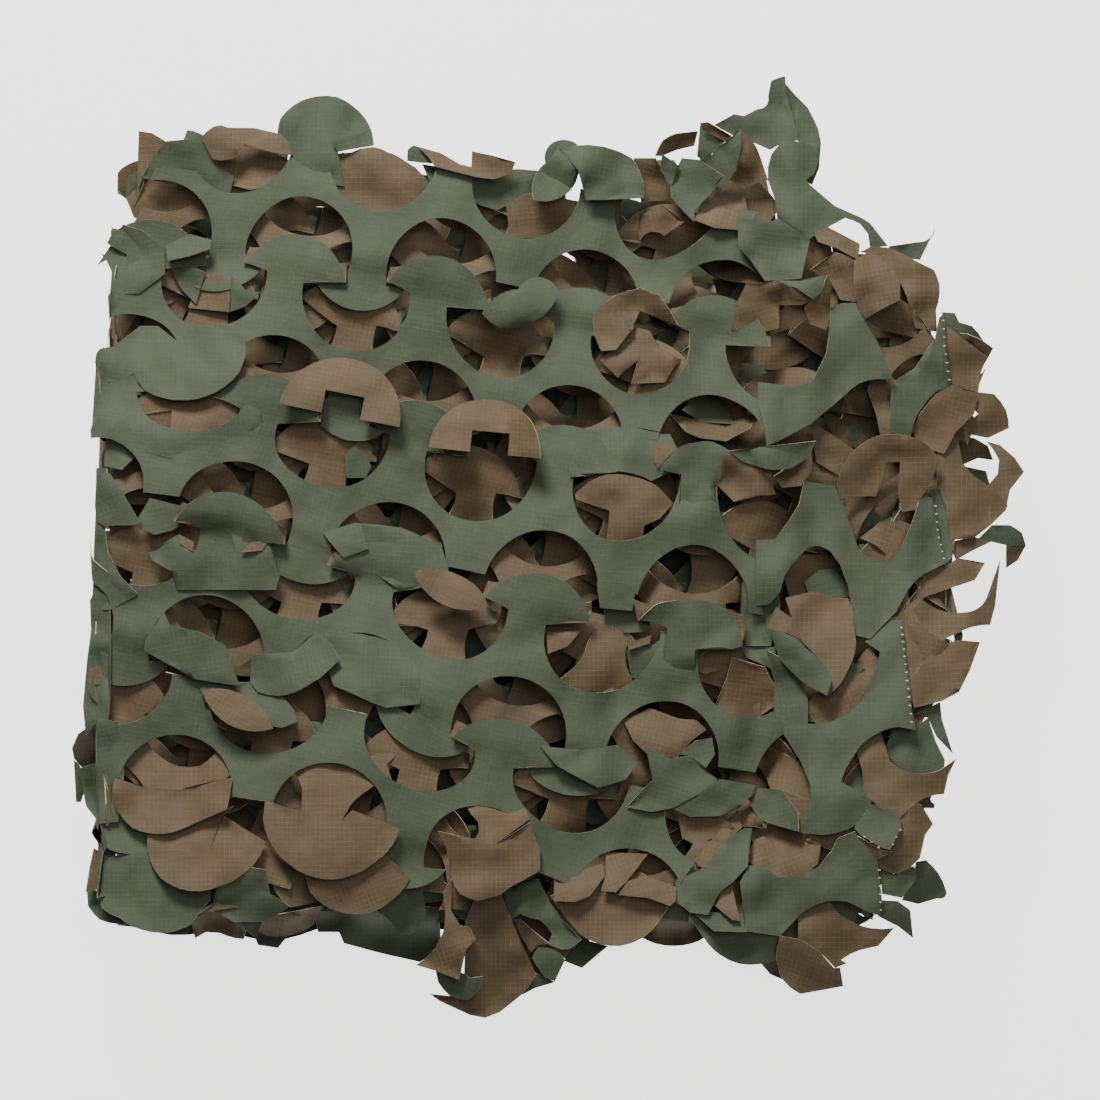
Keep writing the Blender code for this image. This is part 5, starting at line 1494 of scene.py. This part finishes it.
def seamMesh(seam):
    # Each stitch is a short flat bar of thread, one pitch from the next.
    count = max(2, round(math.hypot(seam.x2 - seam.x1, seam.y2 - seam.y1) / stitch["pitch"]))
    draw = random.Random(round(seam.y1))
    corners, faces = [], []
    for k in range(count):
        share = (k + 0.5) / count
        x, y = seam.x1 + share * (seam.x2 - seam.x1), seam.y1 + share * (seam.y2 - seam.y1)
        half, thin = draw.uniform(*stitch["half"]), draw.uniform(*stitch["thin"])
        corners += [(x + a, y + b) for a, b in ((-half, -thin), (half, -thin), (half, thin), (-half, thin))]
        faces += [(4 * k, 4 * k + 1, 4 * k + 2), (4 * k, 4 * k + 2, 4 * k + 3)]
    u, v = np.array(corners).T
    z = seam.up + stitch["above"] + heights[top] / mm + heapLift(top, u * mm, v * mm) / mm
    return seated(u, v, z), np.array(faces), np.stack([u, v], axis=1) * mm, np.full(len(faces), 2)


def seated(x, y, z):
    # Corners are laid out in the plane through the camera's target that is square to its view, and
    # each is moved along its own line of sight to its height.
    rise, away = math.radians(view["elevation"]), view["distance"] / mm
    over = z - view["target"][2] / mm
    back = y * (1 - math.sin(rise) * over / away) - math.cos(rise) * over
    back = back / (math.sin(rise) - math.cos(rise) * y / away)
    depth = 1 + (math.cos(rise) * back - math.sin(rise) * over) / away
    return np.stack([x * depth * mm + centring[0], back * mm + centring[1], z * mm], axis=1)


plyLook = dict(
    waves=((34, 0.7), (19, 0.4)),       # lengths and heights in mm
    spread=-1.6,                        # how fast a corner's height fades with the distance squared
    lowest=3,                           # the least height above the floor in mm
    blend=9,                            # in square mm, so that no corner's height makes a spike
    wavesTo=160, wavesFade=60,          # the top layer's waves fade out towards this x, in mm
    seedStep=0.017,                     # each ply takes its own part of the printed cloth
    turn=0.35,                          # the cloth's grid, in radians either way
    turnedBelow=12,                     # longer ribbons than this many corners keep the grid straight
)


def plyMesh(spec, seed):
    # A ply's height is blended between its corners' heights, and rides on the top layer's heap.
    rows = [(tuple(corner) + (0,))[:4] for corner in spec.corners]
    turning = sum(rows[k - 1][0] * row[1] - row[0] * rows[k - 1][1] for k, row in enumerate(rows))
    loop = []
    for (x, y, _, bulge), after in zip(rows, rows[1:] + rows[:1]):
        if abs(bulge) == 1:
            bulge *= math.hypot(after[0] - x, after[1] - y) ** 2 * mm / (8 * die["lobe"])
        loop.append((x, y, bulge * math.copysign(1, turning)))
    verts, faces = filled(bowed(loop))
    u, v = verts.T
    known = np.array([row[:3] for row in rows])
    reach = (u[:, None] - known[None, :, 0]) ** 2 + (v[:, None] - known[None, :, 1]) ** 2
    weight = (reach + plyLook["blend"]) ** plyLook["spread"]
    draw = random.Random(500 + seed)
    z = (weight * known[None, :, 2]).sum(axis=1) / weight.sum(axis=1) + softWaves(draw, u, v, plyLook["waves"])
    waves = clothWaves(top, u * mm, v * mm, smooth(u, roughFrom / mm, roughTo / mm))
    waves = waves * smooth(plyLook["wavesTo"] - u, 0, plyLook["wavesFade"])
    base = (heights[top] + heapLift(top, u * mm, v * mm) + waves) / mm
    z = np.maximum(z + base, plyLook["lowest"])
    turn = draw.uniform(-plyLook["turn"], plyLook["turn"]) if len(rows) < plyLook["turnedBelow"] else 0
    c, s = math.cos(turn), math.sin(turn)
    plan = np.stack([c * u - s * v, s * u + c * v], axis=1) * mm + seed * plyLook["seedStep"]
    return seated(u, v, z), faces, plan, printKinds(spec.side, faces)


# ---- the layers' lattices, and the pieces

# Where each layer's lattice starts, in mm, its lean in degrees, and 1 or -1 for the side that is up.
lattices = [
    (-60, 20, -8, 1), (-20, -8, -9, -1), (-44, 14, -12, 1), (4, 30, -7, -1), (-71, -22, -10, 1),
    (-30, 8, -13, -1), (-52, -5, -11, -1), (0, 0, -10.9, 1),
]
nets = [Net(layer, x * mm, y * mm, lean, up) for layer, (x, y, lean, up) in enumerate(lattices)]


def originAt(net, column, row, x, y):
    # Slides a lattice so that one of its repeats lies at x, y.
    atX, atY = net.turned(column * die["across"], -row * (die["row"] + die["gap"]))
    net.x += x * mm - atX
    net.y += y * mm - atY


originAt(nets[top], 2, 2, -80.6, 1.4)
nets[top].pullTo(topHoles)
originAt(nets[top - 1], 0, 0, -98.5, 129)

for lower in range(0, layerCount, 2):
    parts = []
    for net in nets[lower:lower + 2]:
        parts.append(netLayer(net))
        print("layer", net.layer, "has", len(parts[-1][1]), "triangles a face")
    for specs, make in ((laidFlaps, laidMesh), (plies, plyMesh)):
        parts += [make(spec, n) for n, spec in enumerate(specs) if spec.piece in (lower + 1, lower + 2)]
    if lower + 2 == layerCount:
        parts += [seamMesh(seam) for seam in seams]
    clothPiece(f"net_layers_{lower + 1}_{lower + 2}", parts)
